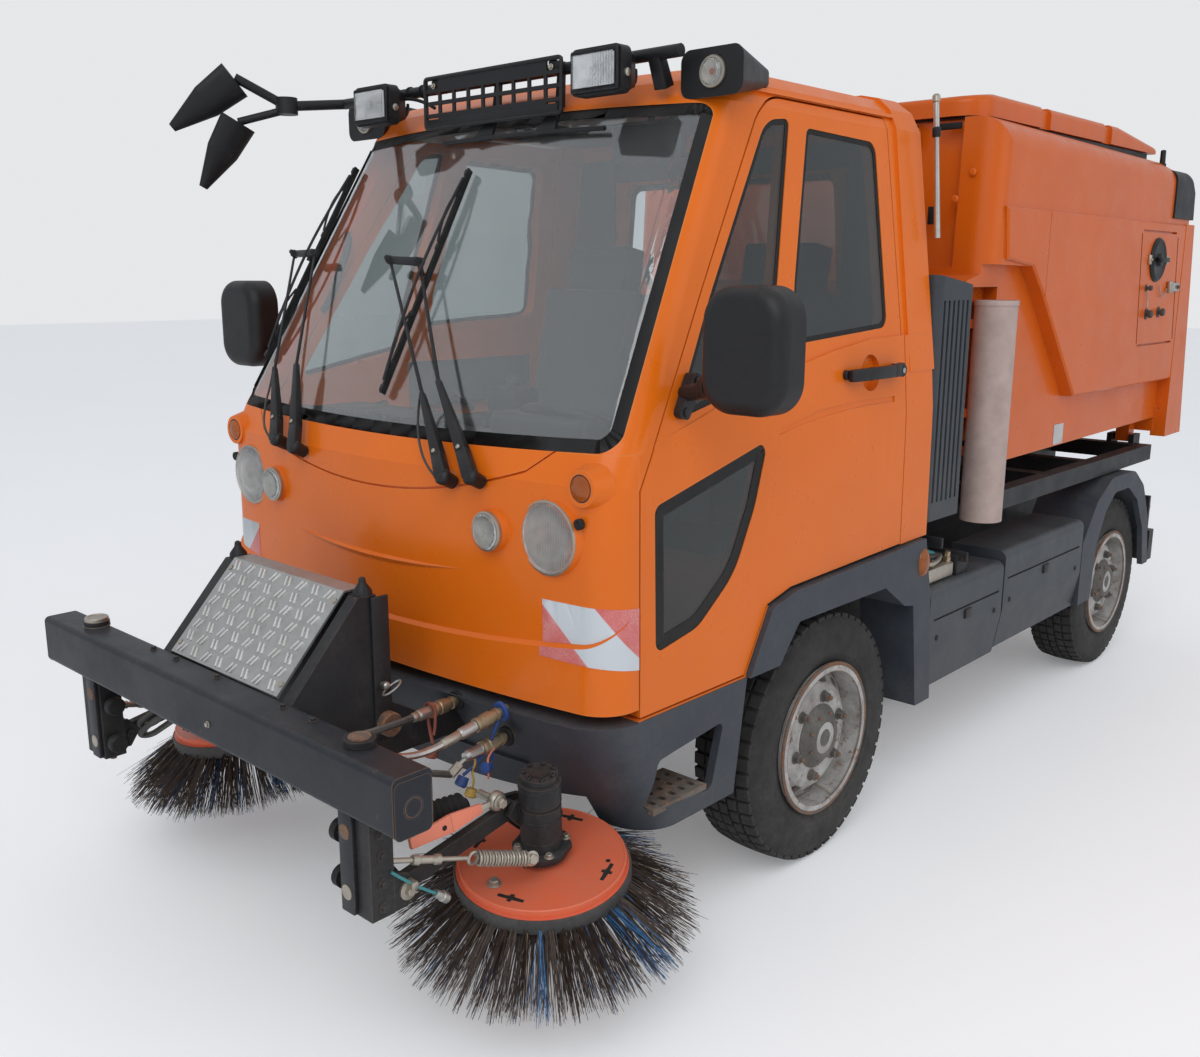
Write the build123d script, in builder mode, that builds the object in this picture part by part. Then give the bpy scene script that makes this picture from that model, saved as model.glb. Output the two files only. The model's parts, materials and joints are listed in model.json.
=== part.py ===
from build123d import *
import os

os.makedirs("parts", exist_ok=True)

# Compact road sweeper, in millimetres: +Z up, the front of the vehicle faces -Y, its left side is +X.
# The origin is on the ground at the middle of its length and width.
# Lengths along the vehicle are given from the front axle, rearwards positive.
front_axle_y = -800.0
wheelbase = 2440.0

# Wheels and tyres
tyre_radius = 384.0
tyre_width = 216.0
front_wheel_x = 705.0
rear_wheel_x = 670.0
rim_radius = 222.0
rim_flange = 232.0
rim_wall = 9.0
hub_radius = 78.0
vent_count = 13
vent_circle = 173.5
vent_length = 46.0
vent_width = 24.0
spindle_radius = 30.0
running_gap = 0.3
kingpin_x = 620.0
kingpin_radius = 16.0

# Chassis
rail_x = 300.0
rail_width = 60.0
rail_bottom = 545.0
rail_top = 685.0
rail_front = -760.0
rail_rear = wheelbase + 460.0

# Cab
cab_wall = 45.0
door_gap = 6.0
cab_rear = 560.0
cab_bottom = 690.0
cab_half_width = 820.0
front_bulge = 75.0
cab_split_height = 1335.0
cab_floor = 735.0
roof_height = 2262.0
glass_inset = 4.0
glass_thickness = 6.0

# Far enough to pass through the whole vehicle
beyond = 900.0

# height, front, half width, corner radius, rear
cab_sections = [
    (cab_bottom, -1035.0, 820.0, 100.0, cab_rear),
    (1264.0, -1035.0, 814.0, 98.0, cab_rear),
    (cab_split_height, -1000.0, 812.0, 96.0, cab_rear),
    (2160.0, -520.0, 705.0, 96.0, cab_rear - 8),
    (2215.0, -478.0, 680.0, 90.0, cab_rear - 22),
    (2250.0, -420.0, 640.0, 80.0, cab_rear - 50),
    (roof_height, -350.0, 580.0, 70.0, cab_rear - 90),
]


def level(height):
    """A horizontal plane at a height, measured from the front axle."""
    return Plane(origin=(0, front_axle_y, height), x_dir=(1, 0, 0), z_dir=(0, 0, 1))


def side_plane(x):
    """An upright plane along the vehicle: distance behind the front axle, then height."""
    return Plane(origin=(x, front_axle_y, 0), x_dir=(0, 1, 0), z_dir=(1, 0, 0))


def cross_plane(distance):
    """An upright plane across the vehicle that faces forwards: x, then height."""
    return Plane(origin=(0, front_axle_y + distance, 0), x_dir=(1, 0, 0), z_dir=(0, -1, 0))


def spot(x, distance, height):
    """A point from the vehicle's middle, the front axle and the ground."""
    return Vector(x, front_axle_y + distance, height)


def outline_solid(plane, outline, amount, radius=0, mode=Mode.ADD):
    """An outline on a plane made solid; a third number of a point is its own corner radius."""
    with BuildSketch(plane) as section:
        with BuildLine():
            Polyline(*[point[:2] for point in outline], close=True)
        make_face()
        for point in outline:
            corner = (tuple(point) + (radius,))[2]
            if corner:
                fillet(section.vertices().sort_by_distance((point[0], point[1]))[0], corner)
    return extrude(section.sketch, amount=amount, mode=mode)


def side_solid(outline, x_from, x_to, radius=0, mode=Mode.ADD):
    """An outline seen from the side, made solid between two x."""
    return outline_solid(side_plane(x_from), outline, x_to - x_from, radius, mode)


def cross_solid(outline, distance_from, distance_to, radius=0, mode=Mode.ADD):
    """An outline seen from the front, made solid between two distances."""
    return outline_solid(cross_plane(distance_to), outline, distance_to - distance_from, radius, mode)


def block(x, distance, z, mode=Mode.ADD):
    """A plain box between two x, two distances and two heights."""
    with BuildSketch(level(z[0])) as section:
        with Locations(((x[0] + x[1]) / 2, (distance[0] + distance[1]) / 2)):
            Rectangle(x[1] - x[0], distance[1] - distance[0])
    return extrude(section.sketch, amount=z[1] - z[0], mode=mode)


def rod(start, end, radius, mode=Mode.ADD):
    """A round bar between two points."""
    with BuildSketch(Plane(origin=start, z_dir=end - start)) as section:
        Circle(radius)
    return extrude(section.sketch, amount=(end - start).length, mode=mode)


def pin(x_from, x_to, centre, radius, mode=Mode.ADD):
    """A round bar across the vehicle; its centre is a distance and a height."""
    with BuildSketch(side_plane(x_from)) as section:
        with Locations(centre):
            Circle(radius)
    return extrude(section.sketch, amount=x_to - x_from, mode=mode)


def post(centre, low, high, radius, mode=Mode.ADD):
    """An upright round bar; its centre is an x and a distance."""
    with BuildSketch(level(low)) as section:
        with Locations(centre):
            Circle(radius)
    return extrude(section.sketch, amount=high - low, mode=mode)


def long_bar(x, height, distance_from, distance_to, radius, mode=Mode.ADD):
    """A round bar along the vehicle."""
    with BuildSketch(cross_plane(distance_to)) as section:
        with Locations((x, height)):
            Circle(radius)
    return extrude(section.sketch, amount=distance_to - distance_from, mode=mode)


def cab_volume(inset, bottom=cab_bottom, sections=cab_sections):
    """The cab's outer form, or a copy of it set in by a wall."""
    last = len(sections) - 1
    with BuildPart() as volume:
        for row, (height, front, half_width, corner, rear) in enumerate(sections):
            half = half_width - inset
            nose = front + inset
            sag = front_bulge * (half / cab_half_width) ** 2
            at = height - inset * row / last
            if row == 0:
                at = bottom
            with BuildSketch(level(at)) as face:
                with BuildLine():
                    ThreePointArc((-half, nose + sag), (0, nose), (half, nose + sag))
                    Line((half, nose + sag), (half, rear - inset))
                    Line((half, rear - inset), (-half, rear - inset))
                    Line((-half, rear - inset), (-half, nose + sag))
                make_face()
                fillet(face.vertices().group_by(Axis.Y)[0], max(corner - inset, 30))
        loft(ruled=True)
    return volume.part


# Cab shell: outline of its underside over the wheels, outside and inside
underbody = [(-430, 500), (-430, 700), (-330, 872), (-220, 897), (700, 921), (700, 500)]
raised_underbody = [(-475, 500), (-475, cab_floor), (-352, 912), (-220, 942), (700, 966), (700, 500)]
hoop_front = 412.0
hoop_proud = 8.0
hoop_low = 1450.0
drip_height = 2196.0
# The body below the windows is proud of them: its upper line, seen from the side
shoulder_sections = [(cab_split_height, -1000.0, 812.0, 96.0, cab_rear),
                     (1575.0, -860.0, 792.0, 96.0, cab_rear - 3)]
shoulder_outline = [(-800, 1338), (-760, 1366), (-560, 1420), (-320, 1464), (-210, 1497), (-33, 1529),
                    (183, 1556), (373, 1561), (700, 1561), (700, 1338)]

cab_body = cab_volume(0)
cab_beyond = cab_volume(-20)
shoulder_form = cab_volume(0, cab_split_height, shoulder_sections)
cab_proud = cab_volume(-hoop_proud)
cab_room = cab_volume(cab_wall, cab_floor)
cab_behind_wall = cab_volume(cab_wall, 400.0)
cab_behind_gap = cab_volume(cab_wall + door_gap, 400.0)

with BuildPart() as cab_outer:
    add(cab_body)
    side_solid(underbody, -beyond, beyond, mode=Mode.SUBTRACT)
with BuildPart() as cab_inner:
    add(cab_room)
    side_solid(raised_underbody, -beyond, beyond, mode=Mode.SUBTRACT)
with BuildPart() as wall_zone:
    add(cab_outer.part)
    add(cab_behind_wall, mode=Mode.SUBTRACT)
with BuildPart() as gap_zone:
    add(cab_beyond)
    add(cab_behind_gap, mode=Mode.SUBTRACT)
with BuildPart() as hoop:
    add(cab_proud)
    block((-beyond, beyond), (hoop_front, 700), (hoop_low, 2400), mode=Mode.INTERSECT)
with BuildPart() as shoulder:
    add(shoulder_form)
    side_solid(shoulder_outline, -beyond, beyond, mode=Mode.INTERSECT)
    add(cab_behind_wall, mode=Mode.SUBTRACT)
with BuildPart() as drip_rail:
    add(cab_proud)
    block((-beyond, beyond), (-300, hoop_front + 5), (drip_height, drip_height + 10), mode=Mode.INTERSECT)

# Doors: distance, height and corner radius of the outline; the rear edge is slanted seen from above
door_outline = [(-862, 700), (-440, 700), (-340, 872), (-226, 899), (430, 918), (430, 2188),
                (-262, 2188, 170), (-583, 1701, 500), (-808, 1349, 90), (-862, 1250)]
door_front_edge = -868.0
door_rear_edge = 385.0
door_rear_slope = 0.16
door_panel_x = (500.0, 900.0)


def door_solid(growth):
    """The door's outline with its slanted rear edge, grown by the gap."""
    near, far = door_panel_x
    with BuildPart() as prism:
        with BuildSketch(side_plane(near)) as face:
            with BuildLine():
                Polyline(*[point[:2] for point in door_outline], close=True)
            make_face()
            for point in door_outline:
                if len(point) == 3:
                    fillet(face.vertices().sort_by_distance(point[:2])[0], point[2])
            if growth:
                offset(amount=growth, kind=Kind.INTERSECTION)
        extrude(amount=far - near)
        edge = door_rear_edge + growth
        with BuildSketch(level(400)):
            with BuildLine():
                Polyline((far, edge + 80 * door_rear_slope), (far, beyond), (near, beyond),
                         (near, edge - 320 * door_rear_slope), close=True)
            make_face()
        extrude(amount=2200, mode=Mode.SUBTRACT)
    return prism.part


# Window outlines in the door: distance, height and corner radius
quarter_window = [(-728, 1400, 20), (-320, 1480, 24), (-268, 1686, 300), (-150, 2140, 16),
                  (-262, 2128, 110), (-560, 1680, 500)]
rear_side_window = [(-69, 2124, 24), (296, 2115, 40), (300, 1587, 40), (-214, 1555, 24), (-180, 1720, 300)]
lower_window = [(-812, 1206, 26), (-352, 1318, 24), (-405, 1150, 300), (-490, 985, 240),
                (-640, 876, 120), (-806, 846, 24)]
door_form = door_solid(0)
door_opening = door_solid(door_gap)

with BuildPart() as front_zone:
    add(cab_body)
    add(cab_body.moved(Location((0, 85, 0))), mode=Mode.SUBTRACT)
with BuildPart() as windscreen_cut:
    with BuildSketch(cross_plane(-200)) as face:
        with BuildLine():
            ThreePointArc((-688, 2150), (0, 2165), (688, 2150))
            Line((688, 2150), (786, 1340))
            ThreePointArc((786, 1340), (0, 1325), (-786, 1340))
            Line((-786, 1340), (-688, 2150))
        make_face()
        fillet(face.vertices(), 40)
    extrude(amount=1000)
    add(front_zone.part, mode=Mode.INTERSECT)
rear_window_outline = [(-480, 1560), (480, 1560), (440, 2060), (-440, 2060)]
with BuildPart() as rear_window_cut:
    cross_solid(rear_window_outline, cab_rear - 120, cab_rear + 40, 50)
with BuildPart() as left_door_cut:
    add(door_opening)
    add(gap_zone.part, mode=Mode.INTERSECT)
right_door_cut = mirror(left_door_cut.part, about=Plane.YZ)

with BuildPart() as cab_shell:
    add(cab_outer.part)
    add(hoop.part)
    add(shoulder.part)
    add(drip_rail.part)
    add(cab_inner.part, mode=Mode.SUBTRACT)
    block((-beyond, beyond), (-1200, door_front_edge), (600, cab_split_height), mode=Mode.SUBTRACT)
    add(left_door_cut.part, mode=Mode.SUBTRACT)
    add(right_door_cut, mode=Mode.SUBTRACT)
    add(windscreen_cut.part, mode=Mode.SUBTRACT)
    add(rear_window_cut.part, mode=Mode.SUBTRACT)

windscreen_outside = cab_volume(glass_inset - 1)
windscreen_inside = cab_volume(glass_inset - 1 + glass_thickness)
with BuildPart() as cab_glass:
    add(windscreen_cut.part)
    add(windscreen_outside, mode=Mode.INTERSECT)
    add(windscreen_inside, mode=Mode.SUBTRACT)
    cross_solid(rear_window_outline, cab_rear - 20, cab_rear - 14, 50)

# Fascia: the panel between the doors below the windscreen
fascia_low = 722.0
seam_width = 6.0
seam_depth = 8.0
snout_proud = 10.0
lip_proud = 12.0
lip_outline = [(-1200, 640), (-1200, 724), (-1047, 838), (door_front_edge, 972), (door_front_edge, 640)]
# Lamps: x, height, radius, front of the lens
lamp_rows = [(642.0, 1136.0, 78.0, -990.0), (469.0, 1132.0, 36.0, -1020.0), (740.0, 1264.0, 30.0, -982.0)]
lens_depth = 34.0
lens_gap = 3.0
ring_wall = 11.0
ring_taper = 17.0
seam_floor = cab_volume(seam_depth)
snout_back = cab_volume(5)
lip_back = cab_volume(20, 600.0)

with BuildPart() as seam_cut:
    with BuildSketch(cross_plane(-850)):
        with BuildLine():
            for drop in (0, seam_width):
                Line((-640, 1345 - drop), (-565, 1287 - drop))
                ThreePointArc((-565, 1287 - drop), (0, 1196 - drop), (565, 1287 - drop))
                Line((565, 1287 - drop), (640, 1345 - drop))
            Line((-640, 1345), (-640, 1345 - seam_width))
            Line((640, 1345), (640, 1345 - seam_width))
        make_face()
    extrude(amount=300)
    add(seam_floor, mode=Mode.SUBTRACT)
# The snout is proud between the seam and a crease whose lower side slopes
snout_plane = Plane(origin=spot(0, -1045, 1002), x_dir=(1, 0, 0), z_dir=(0, -0.574, 0.819))
with BuildPart() as snout:
    with BuildSketch(snout_plane):
        with BuildLine():
            ThreePointArc((-530, 64), (0, 0), (530, 64))
            Polyline((530, 64), (598, 150), (562, 196), (562, 300), (-562, 300), (-562, 196), (-598, 150),
                     (-530, 64))
        make_face()
    extrude(amount=-300)
    with BuildSketch(cross_plane(-850)):
        with BuildLine():
            Polyline((-565, 1281), (-640, 1339), (-700, 1339), (-700, 700), (700, 700), (700, 1339),
                     (640, 1339), (565, 1281))
            ThreePointArc((-565, 1281), (0, 1190), (565, 1281))
        make_face()
    extrude(amount=300, mode=Mode.INTERSECT)
    add(cab_body.moved(Location((0, -snout_proud, 0))), mode=Mode.INTERSECT)
    add(snout_back, mode=Mode.SUBTRACT)
with BuildPart() as lip:
    side_solid(lip_outline, -beyond, beyond)
    add(cab_body.moved(Location((0, -lip_proud, 0))), mode=Mode.INTERSECT)
    add(lip_back, mode=Mode.SUBTRACT)
with BuildPart() as headlamps:
    for side in (1, -1):
        for x, height, radius, lens_front in lamp_rows:
            with BuildSketch(cross_plane(lens_front + lens_depth)):
                with Locations((side * x, height)):
                    Circle(radius)
            extrude(amount=lens_depth)
    fillet(headlamps.faces().filter_by(Plane.XZ).edges().group_by(Axis.Y)[0], 6)
with BuildPart() as cab_fascia:
    block((-beyond, beyond), (-1200, door_front_edge), (600, cab_split_height))
    add(wall_zone.part, mode=Mode.INTERSECT)
    add(snout.part)
    add(lip.part)
    for side in (1, -1):
        for x, height, radius, lens_front in lamp_rows:
            with BuildSketch(cross_plane(lens_front + lens_depth + 14)):
                with Locations((side * x, height)):
                    Circle(radius + ring_wall + 18)
            extrude(amount=lens_depth + 18, taper=ring_taper)
        for x, height, radius, lens_front in lamp_rows:
            with BuildSketch(cross_plane(lens_front + lens_depth)):
                with Locations((side * x, height)):
                    Circle(radius + lens_gap)
            extrude(amount=150, mode=Mode.SUBTRACT)
    add(seam_cut.part, mode=Mode.SUBTRACT)
    add(windscreen_cut.part, mode=Mode.SUBTRACT)
    block((-beyond, beyond), (-1200, door_front_edge), (600, fascia_low), mode=Mode.SUBTRACT)

# Doors
door_windows = [quarter_window, rear_side_window, lower_window]
glass_outside = cab_volume(glass_inset)
glass_inside = cab_volume(glass_inset + glass_thickness)
# Round dish behind the handle, and a shallow crease under it
handle_dish = (178.0, 1460.0)
dish_radius = 53.0
dish_bottom_x = 782.0
crease_outline = [(-301, 1325), (-197, 1342), (-83, 1354), (38, 1363), (172, 1367), (316, 1366), (316, 1383),
                  (116, 1386), (-97, 1376), (-290, 1343)]
crease_floor = cab_volume(2.5)
with BuildPart() as skin_zone:
    add(wall_zone.part)
    add(shoulder.part)
with BuildPart() as crease:
    side_solid(crease_outline, *door_panel_x)
    add(crease_floor, mode=Mode.SUBTRACT)
with BuildPart() as door_left:
    add(door_form)
    add(skin_zone.part, mode=Mode.INTERSECT)
    for window in door_windows:
        side_solid(window, *door_panel_x, mode=Mode.SUBTRACT)
    pin(dish_bottom_x, 900, handle_dish, dish_radius, mode=Mode.SUBTRACT)
    add(crease.part, mode=Mode.SUBTRACT)
with BuildPart() as door_glass_left:
    for window in door_windows:
        side_solid(window, *door_panel_x)
    add(glass_outside, mode=Mode.INTERSECT)
    add(glass_inside, mode=Mode.SUBTRACT)
mirror_x = 1025.0
mirror_distance = -745.0
mirror_height = 1574.0
mirror_width = 224.0
mirror_tall = 282.0
with BuildPart() as door_mirror_left:
    with BuildSketch(cross_plane(mirror_distance + 45)) as face:
        with Locations((mirror_x, mirror_height)):
            RectangleRounded(mirror_width, mirror_tall, 78)
    extrude(amount=95)
    fillet(door_mirror_left.edges().group_by(Axis.Y)[0], 38)
    with BuildSketch(cross_plane(mirror_distance + 45)):
        with Locations((mirror_x, mirror_height)):
            RectangleRounded(mirror_width - 24, mirror_tall - 24, 66)
    extrude(amount=9, mode=Mode.SUBTRACT)
    rod(spot(mirror_x - 70, mirror_distance, 1490), spot(800, -690, 1462), 20)
    side_solid([(-738, 1412), (-700, 1400), (-636, 1500), (-676, 1512)], 792, 822, 12)
    add(door_left.part, mode=Mode.SUBTRACT)
    add(door_glass_left.part, mode=Mode.SUBTRACT)

# Seats, dashboard, steering wheel
seat_width = 460.0
seat_x = 385.0
seat_outline = [(-330, 1060), (130, 1040), (170, 1020), (290, 1060), (400, 1640), (300, 1660),
                (150, 1180), (-320, 1190)]
with BuildPart() as seats:
    for side in (1, -1):
        side_solid(seat_outline, side * seat_x - seat_width / 2, side * seat_x + seat_width / 2, 18)
        block((side * seat_x - 150, side * seat_x + 150), (-220, 90), (960, 1045))

steering_centre = spot(seat_x, -560, 1300)
steering_axis = Vector(0, 0.55, 1).normalized()
steering_rim_radius = 200.0
steering_rim_thickness = 15.0
steering_hub_radius = 55.0
steering_spoke = 34.0
steering_plane = Plane(origin=steering_centre, x_dir=(1, 0, 0), z_dir=steering_axis)
column_radius = 26.0
dash_outline = [(-880, 1120), (-900, 1300), (-760, 1330), (-600, 1230), (-590, 1130), (-700, 1060)]
with BuildPart() as dashboard:
    side_solid(dash_outline, -700, 700, 30)
    rod(steering_centre - steering_axis * 240, steering_centre - steering_axis * 18, column_radius)
with BuildPart() as steering_wheel:
    with BuildSketch(Plane(origin=steering_centre, x_dir=(1, 0, 0), z_dir=steering_plane.y_dir)):
        with Locations((steering_rim_radius, 0)):
            Circle(steering_rim_thickness)
    revolve(axis=Axis(steering_centre, steering_axis))
    with BuildSketch(steering_plane.offset(-12)):
        Circle(steering_hub_radius)
        Rectangle(2 * steering_rim_radius, steering_spoke)
        with Locations((0, -steering_rim_radius / 2)):
            Rectangle(steering_spoke, steering_rim_radius)
    extrude(amount=18)

# Axles: front beam with eyes for the kingpins, rear tube with a differential
beam_end = 545.0
eye_radius = 34.0
eye_half = 55.0
axle_half = 45.0
with BuildPart() as front_axle:
    block((-beam_end, beam_end), (-40, 40), (tyre_radius - axle_half, tyre_radius + axle_half))
    for side in (1, -1):
        post((side * kingpin_x, 0), tyre_radius - eye_half, tyre_radius + eye_half, eye_radius)
        with BuildSketch(level(tyre_radius - eye_half)):
            with Locations((side * (kingpin_x + beam_end) / 2, 0)):
                Rectangle(kingpin_x - beam_end, 50)
        extrude(amount=2 * eye_half)
    for side in (1, -1):
        post((side * kingpin_x, 0), tyre_radius - 80, tyre_radius + 80, kingpin_radius + running_gap,
             mode=Mode.SUBTRACT)

drum_radius = 110.0
drum_width = 20.0
spindle_length = 75.0
with BuildPart() as knuckle_left:
    for low in (tyre_radius - 105, tyre_radius + 60):
        post((kingpin_x, 0), low, low + 45, 32)
        block((kingpin_x, kingpin_x + 70), (-30, 30), (low, low + 45))
    post((kingpin_x, 0), tyre_radius - 100, tyre_radius + 100, kingpin_radius)
    pin(front_wheel_x - 40, front_wheel_x - 40 + drum_width, (0, tyre_radius), drum_radius)
    pin(front_wheel_x - 25, front_wheel_x - 25 + spindle_length, (0, tyre_radius), spindle_radius)

rear_axle_tube = 52.0
with BuildPart() as rear_axle:
    pin(40 - rear_wheel_x, rear_wheel_x - 40, (wheelbase, tyre_radius), rear_axle_tube)
    post((0, wheelbase), tyre_radius - 110, tyre_radius + 110, 150)
    for side in (1, -1):
        inner = side * (rear_wheel_x - 40)
        pin(inner, inner + side * drum_width, (wheelbase, tyre_radius), drum_radius)
        pin(inner, inner + side * (15 + spindle_length), (wheelbase, tyre_radius), spindle_radius)

# Wheel section: outwards from the tyre's middle, then radius
bore = spindle_radius + running_gap
wheel_section = [
    (-112, 205), (-112, rim_flange), (-102, rim_flange), (-102, rim_radius), (102, rim_radius),
    (102, rim_flange), (112, rim_flange), (112, 205), (102, rim_radius - rim_wall), (34, 208), (44, 196),
    (72, 160), (80, 142), (80, 100), (92, 80), (108, 64), (108, 0), (62, 0), (62, bore), (-15, bore),
    (-15, hub_radius), (55, 84), (66, 100), (66, 138), (58, 152), (30, 188), (16, 199), (-102, 212),
]


def wheel(wheel_x, distance):
    """A rim with its dished disc, revolved about the axle, and the slots in the disc."""
    centre = spot(wheel_x, distance, tyre_radius)
    with BuildPart() as part:
        with BuildSketch(Plane(origin=centre, x_dir=(1, 0, 0), z_dir=(0, -1, 0))):
            with BuildLine():
                Polyline(*wheel_section, close=True)
            make_face()
        revolve(axis=Axis(centre, (1, 0, 0)))
        with BuildSketch(side_plane(wheel_x + 15)):
            with Locations((distance, tyre_radius)):
                with PolarLocations(vent_circle, vent_count, start_angle=90 - 180 / vent_count):
                    SlotOverall(vent_length, vent_width, rotation=90)
        extrude(amount=80, mode=Mode.SUBTRACT)
    return part.part


def tyre(wheel_x, distance):
    """A tyre with bulged sidewalls and a flat tread."""
    half = tyre_width / 2
    centre = spot(wheel_x, distance, tyre_radius)
    shoulder_low = (96, tyre_radius - 22)
    shoulder_mid = (92, tyre_radius - 12)
    shoulder_high = (82, tyre_radius - 6)
    inner_low, inner_mid, inner_high = [
        (-reach, radius) for reach, radius in (shoulder_low, shoulder_mid, shoulder_high)]
    with BuildPart() as part:
        with BuildSketch(Plane(origin=centre, x_dir=(1, 0, 0), z_dir=(0, -1, 0))):
            with BuildLine():
                Polyline((-90, rim_radius), (-100, rim_radius + 25))
                ThreePointArc((-100, rim_radius + 25), (-half, 300), inner_low)
                ThreePointArc(inner_low, inner_mid, inner_high)
                ThreePointArc(inner_high, (0, tyre_radius), shoulder_high)
                ThreePointArc(shoulder_high, shoulder_mid, shoulder_low)
                ThreePointArc(shoulder_low, (half, 300), (100, rim_radius + 25))
                Polyline((100, rim_radius + 25), (90, rim_radius), (-90, rim_radius))
            make_face()
        revolve(axis=Axis(centre, (1, 0, 0)))
    return part.part


# Chassis: two rails with cross members, hangers of the rear bar
cross_members = [-740.0, 620.0, 1180.0, 1750.0, wheelbase + 420.0]
rear_bar_distance = (2990.0, 3050.0)
rear_bar_height = (430.0, 520.0)
hanger_outline = [(rail_rear, rail_bottom + 15), (rail_rear, rail_top),
                  (rail_rear + 60, rail_top - 45), (rear_bar_distance[1], 545),
                  (rear_bar_distance[1], 520), (rear_bar_distance[0], 520),
                  (rail_rear + 35, rail_bottom + 15)]
with BuildPart() as chassis_frame:
    for side in (1, -1):
        near, far = side * rail_x - rail_width / 2, side * rail_x + rail_width / 2
        block((near, far), (rail_front, rail_rear), (rail_bottom, rail_top))
        side_solid(hanger_outline, near, far)
    for distance in cross_members:
        block((-rail_x, rail_x), (distance, distance + 60), (rail_bottom + 20, rail_top - 20))

# Bar at the rear with the lamp boards: x of a lamp, distance, height
rear_lamp_x = 700.0
rear_lamp_radius = 45.0
with BuildPart() as rear_bar:
    block((-740, 740), rear_bar_distance, rear_bar_height)
    for side in (1, -1):
        block((side * rear_lamp_x - 60, side * rear_lamp_x + 60), (2990, 3008), (520, 700))
        block((side * rear_lamp_x - 50, side * rear_lamp_x + 70), (3008, 3066), (380, 528))
        with BuildSketch(cross_plane(2990)):
            with Locations((side * rear_lamp_x, 636)):
                Circle(rear_lamp_radius)
        extrude(amount=64)

# Leaf springs under the rails at both axles
leaf_thickness = 36.0
leaf_width = 60.0
spring_half_length = 480.0
spring_eye = 60.0
with BuildPart() as leaf_springs:
    for distance, seat_height in ((0.0, tyre_radius + axle_half), (wheelbase, tyre_radius + rear_axle_tube)):
        front, rear = distance - spring_half_length, distance + spring_half_length
        for side in (1, -1):
            with BuildSketch(side_plane(side * rail_x - leaf_width / 2)):
                with BuildLine():
                    ThreePointArc((front, rail_bottom - 10), (distance, seat_height),
                                  (rear, rail_bottom - 10))
                    Polyline((rear, rail_bottom - 10), (rear, rail_bottom),
                             (rear - spring_eye, rail_bottom))
                    ThreePointArc((rear - spring_eye, rail_bottom), (distance, seat_height + leaf_thickness),
                                  (front + spring_eye, rail_bottom))
                    Polyline((front + spring_eye, rail_bottom), (front, rail_bottom),
                             (front, rail_bottom - 10))
                make_face()
            extrude(amount=leaf_width)
    add(front_axle.part, mode=Mode.SUBTRACT)
    add(rear_axle.part, mode=Mode.SUBTRACT)

with BuildPart() as engine_block:
    block((-220, 220), (-120, 560), (470, 860))
    fillet(engine_block.edges().filter_by(Axis.Z), 40)

# Subframe of the hopper: a flat ladder above the chassis with the hopper's pivots at its end
subframe_bottom = 895.0
subframe_top = 965.0
subframe_x = 745.0
subframe_bars = [1240.0, 1700.0, 2150.0, 2820.0]
tip_pivot = (2905.0, 985.0)
tip_pin_radius = 16.0
tip_ear_x = 640.0
tip_ear_half = 30.0
with BuildPart() as subframe:
    for side in (1, -1):
        edge = side * subframe_x
        block((edge - 30, edge + 30), (1280, 2880), (subframe_bottom, subframe_top))
        block((side * rail_x - 30, side * rail_x + 30), (1240, 2880), (rail_top, subframe_top))
        for middle in (tip_ear_x - tip_ear_half - 20, tip_ear_x + tip_ear_half + 20):
            block((side * middle - 12, side * middle + 12), (2850, 2935), (subframe_bottom, 1006))
        pin(side * tip_ear_x - 55, side * tip_ear_x + 55, tip_pivot, tip_pin_radius - running_gap)
    for distance in subframe_bars:
        block((-subframe_x - 30, subframe_x + 30), (distance, distance + 60),
              (subframe_bottom, subframe_top))

# Carrier of the front tools: two side plates, a cross plate behind the tread plate, arms to the rails
plate_front = -1486.0
carrier_half = 300.0
carrier_wall = 38.0
carrier_outline = [(plate_front, 650), (plate_front, 768), (-1290, 985), (-1240, 985), (-1200, 700),
                   (-1100, 640), (rail_front, 640), (rail_front, 560), (-1300, 560)]
with BuildPart() as front_bracket:
    for side in (1, -1):
        side_solid(carrier_outline, side * (carrier_half - carrier_wall), side * carrier_half)
    block((-carrier_half, carrier_half), (-1262, -1238), (600, 985))

# Bumper: a raked dark moulding under the fascia, open below and behind, with a step recess on each side
# height, front, half width, corner radius
bumper_sections = [(348.0, -850.0, 790.0, 120.0), (690.0, -1062.0, 824.0, 135.0)]
bumper_rear = -430.0
bumper_wall = 25.0


def bumper_volume(inset, low, high):
    """The bumper's form, or a copy of it set in by its wall."""
    with BuildPart() as volume:
        for height, (_, front, half_width, corner) in zip((low, high), bumper_sections):
            half = half_width - inset
            nose = front + inset
            sag = front_bulge * (half / cab_half_width) ** 2
            with BuildSketch(level(height)) as face:
                with BuildLine():
                    ThreePointArc((-half, nose + sag), (0, nose), (half, nose + sag))
                    Line((half, nose + sag), (half, bumper_rear))
                    Line((half, bumper_rear), (-half, bumper_rear))
                    Line((-half, bumper_rear), (-half, nose + sag))
                make_face()
                fillet(face.vertices().group_by(Axis.Y)[0], corner - inset)
        loft(ruled=True)
    return volume.part


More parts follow.
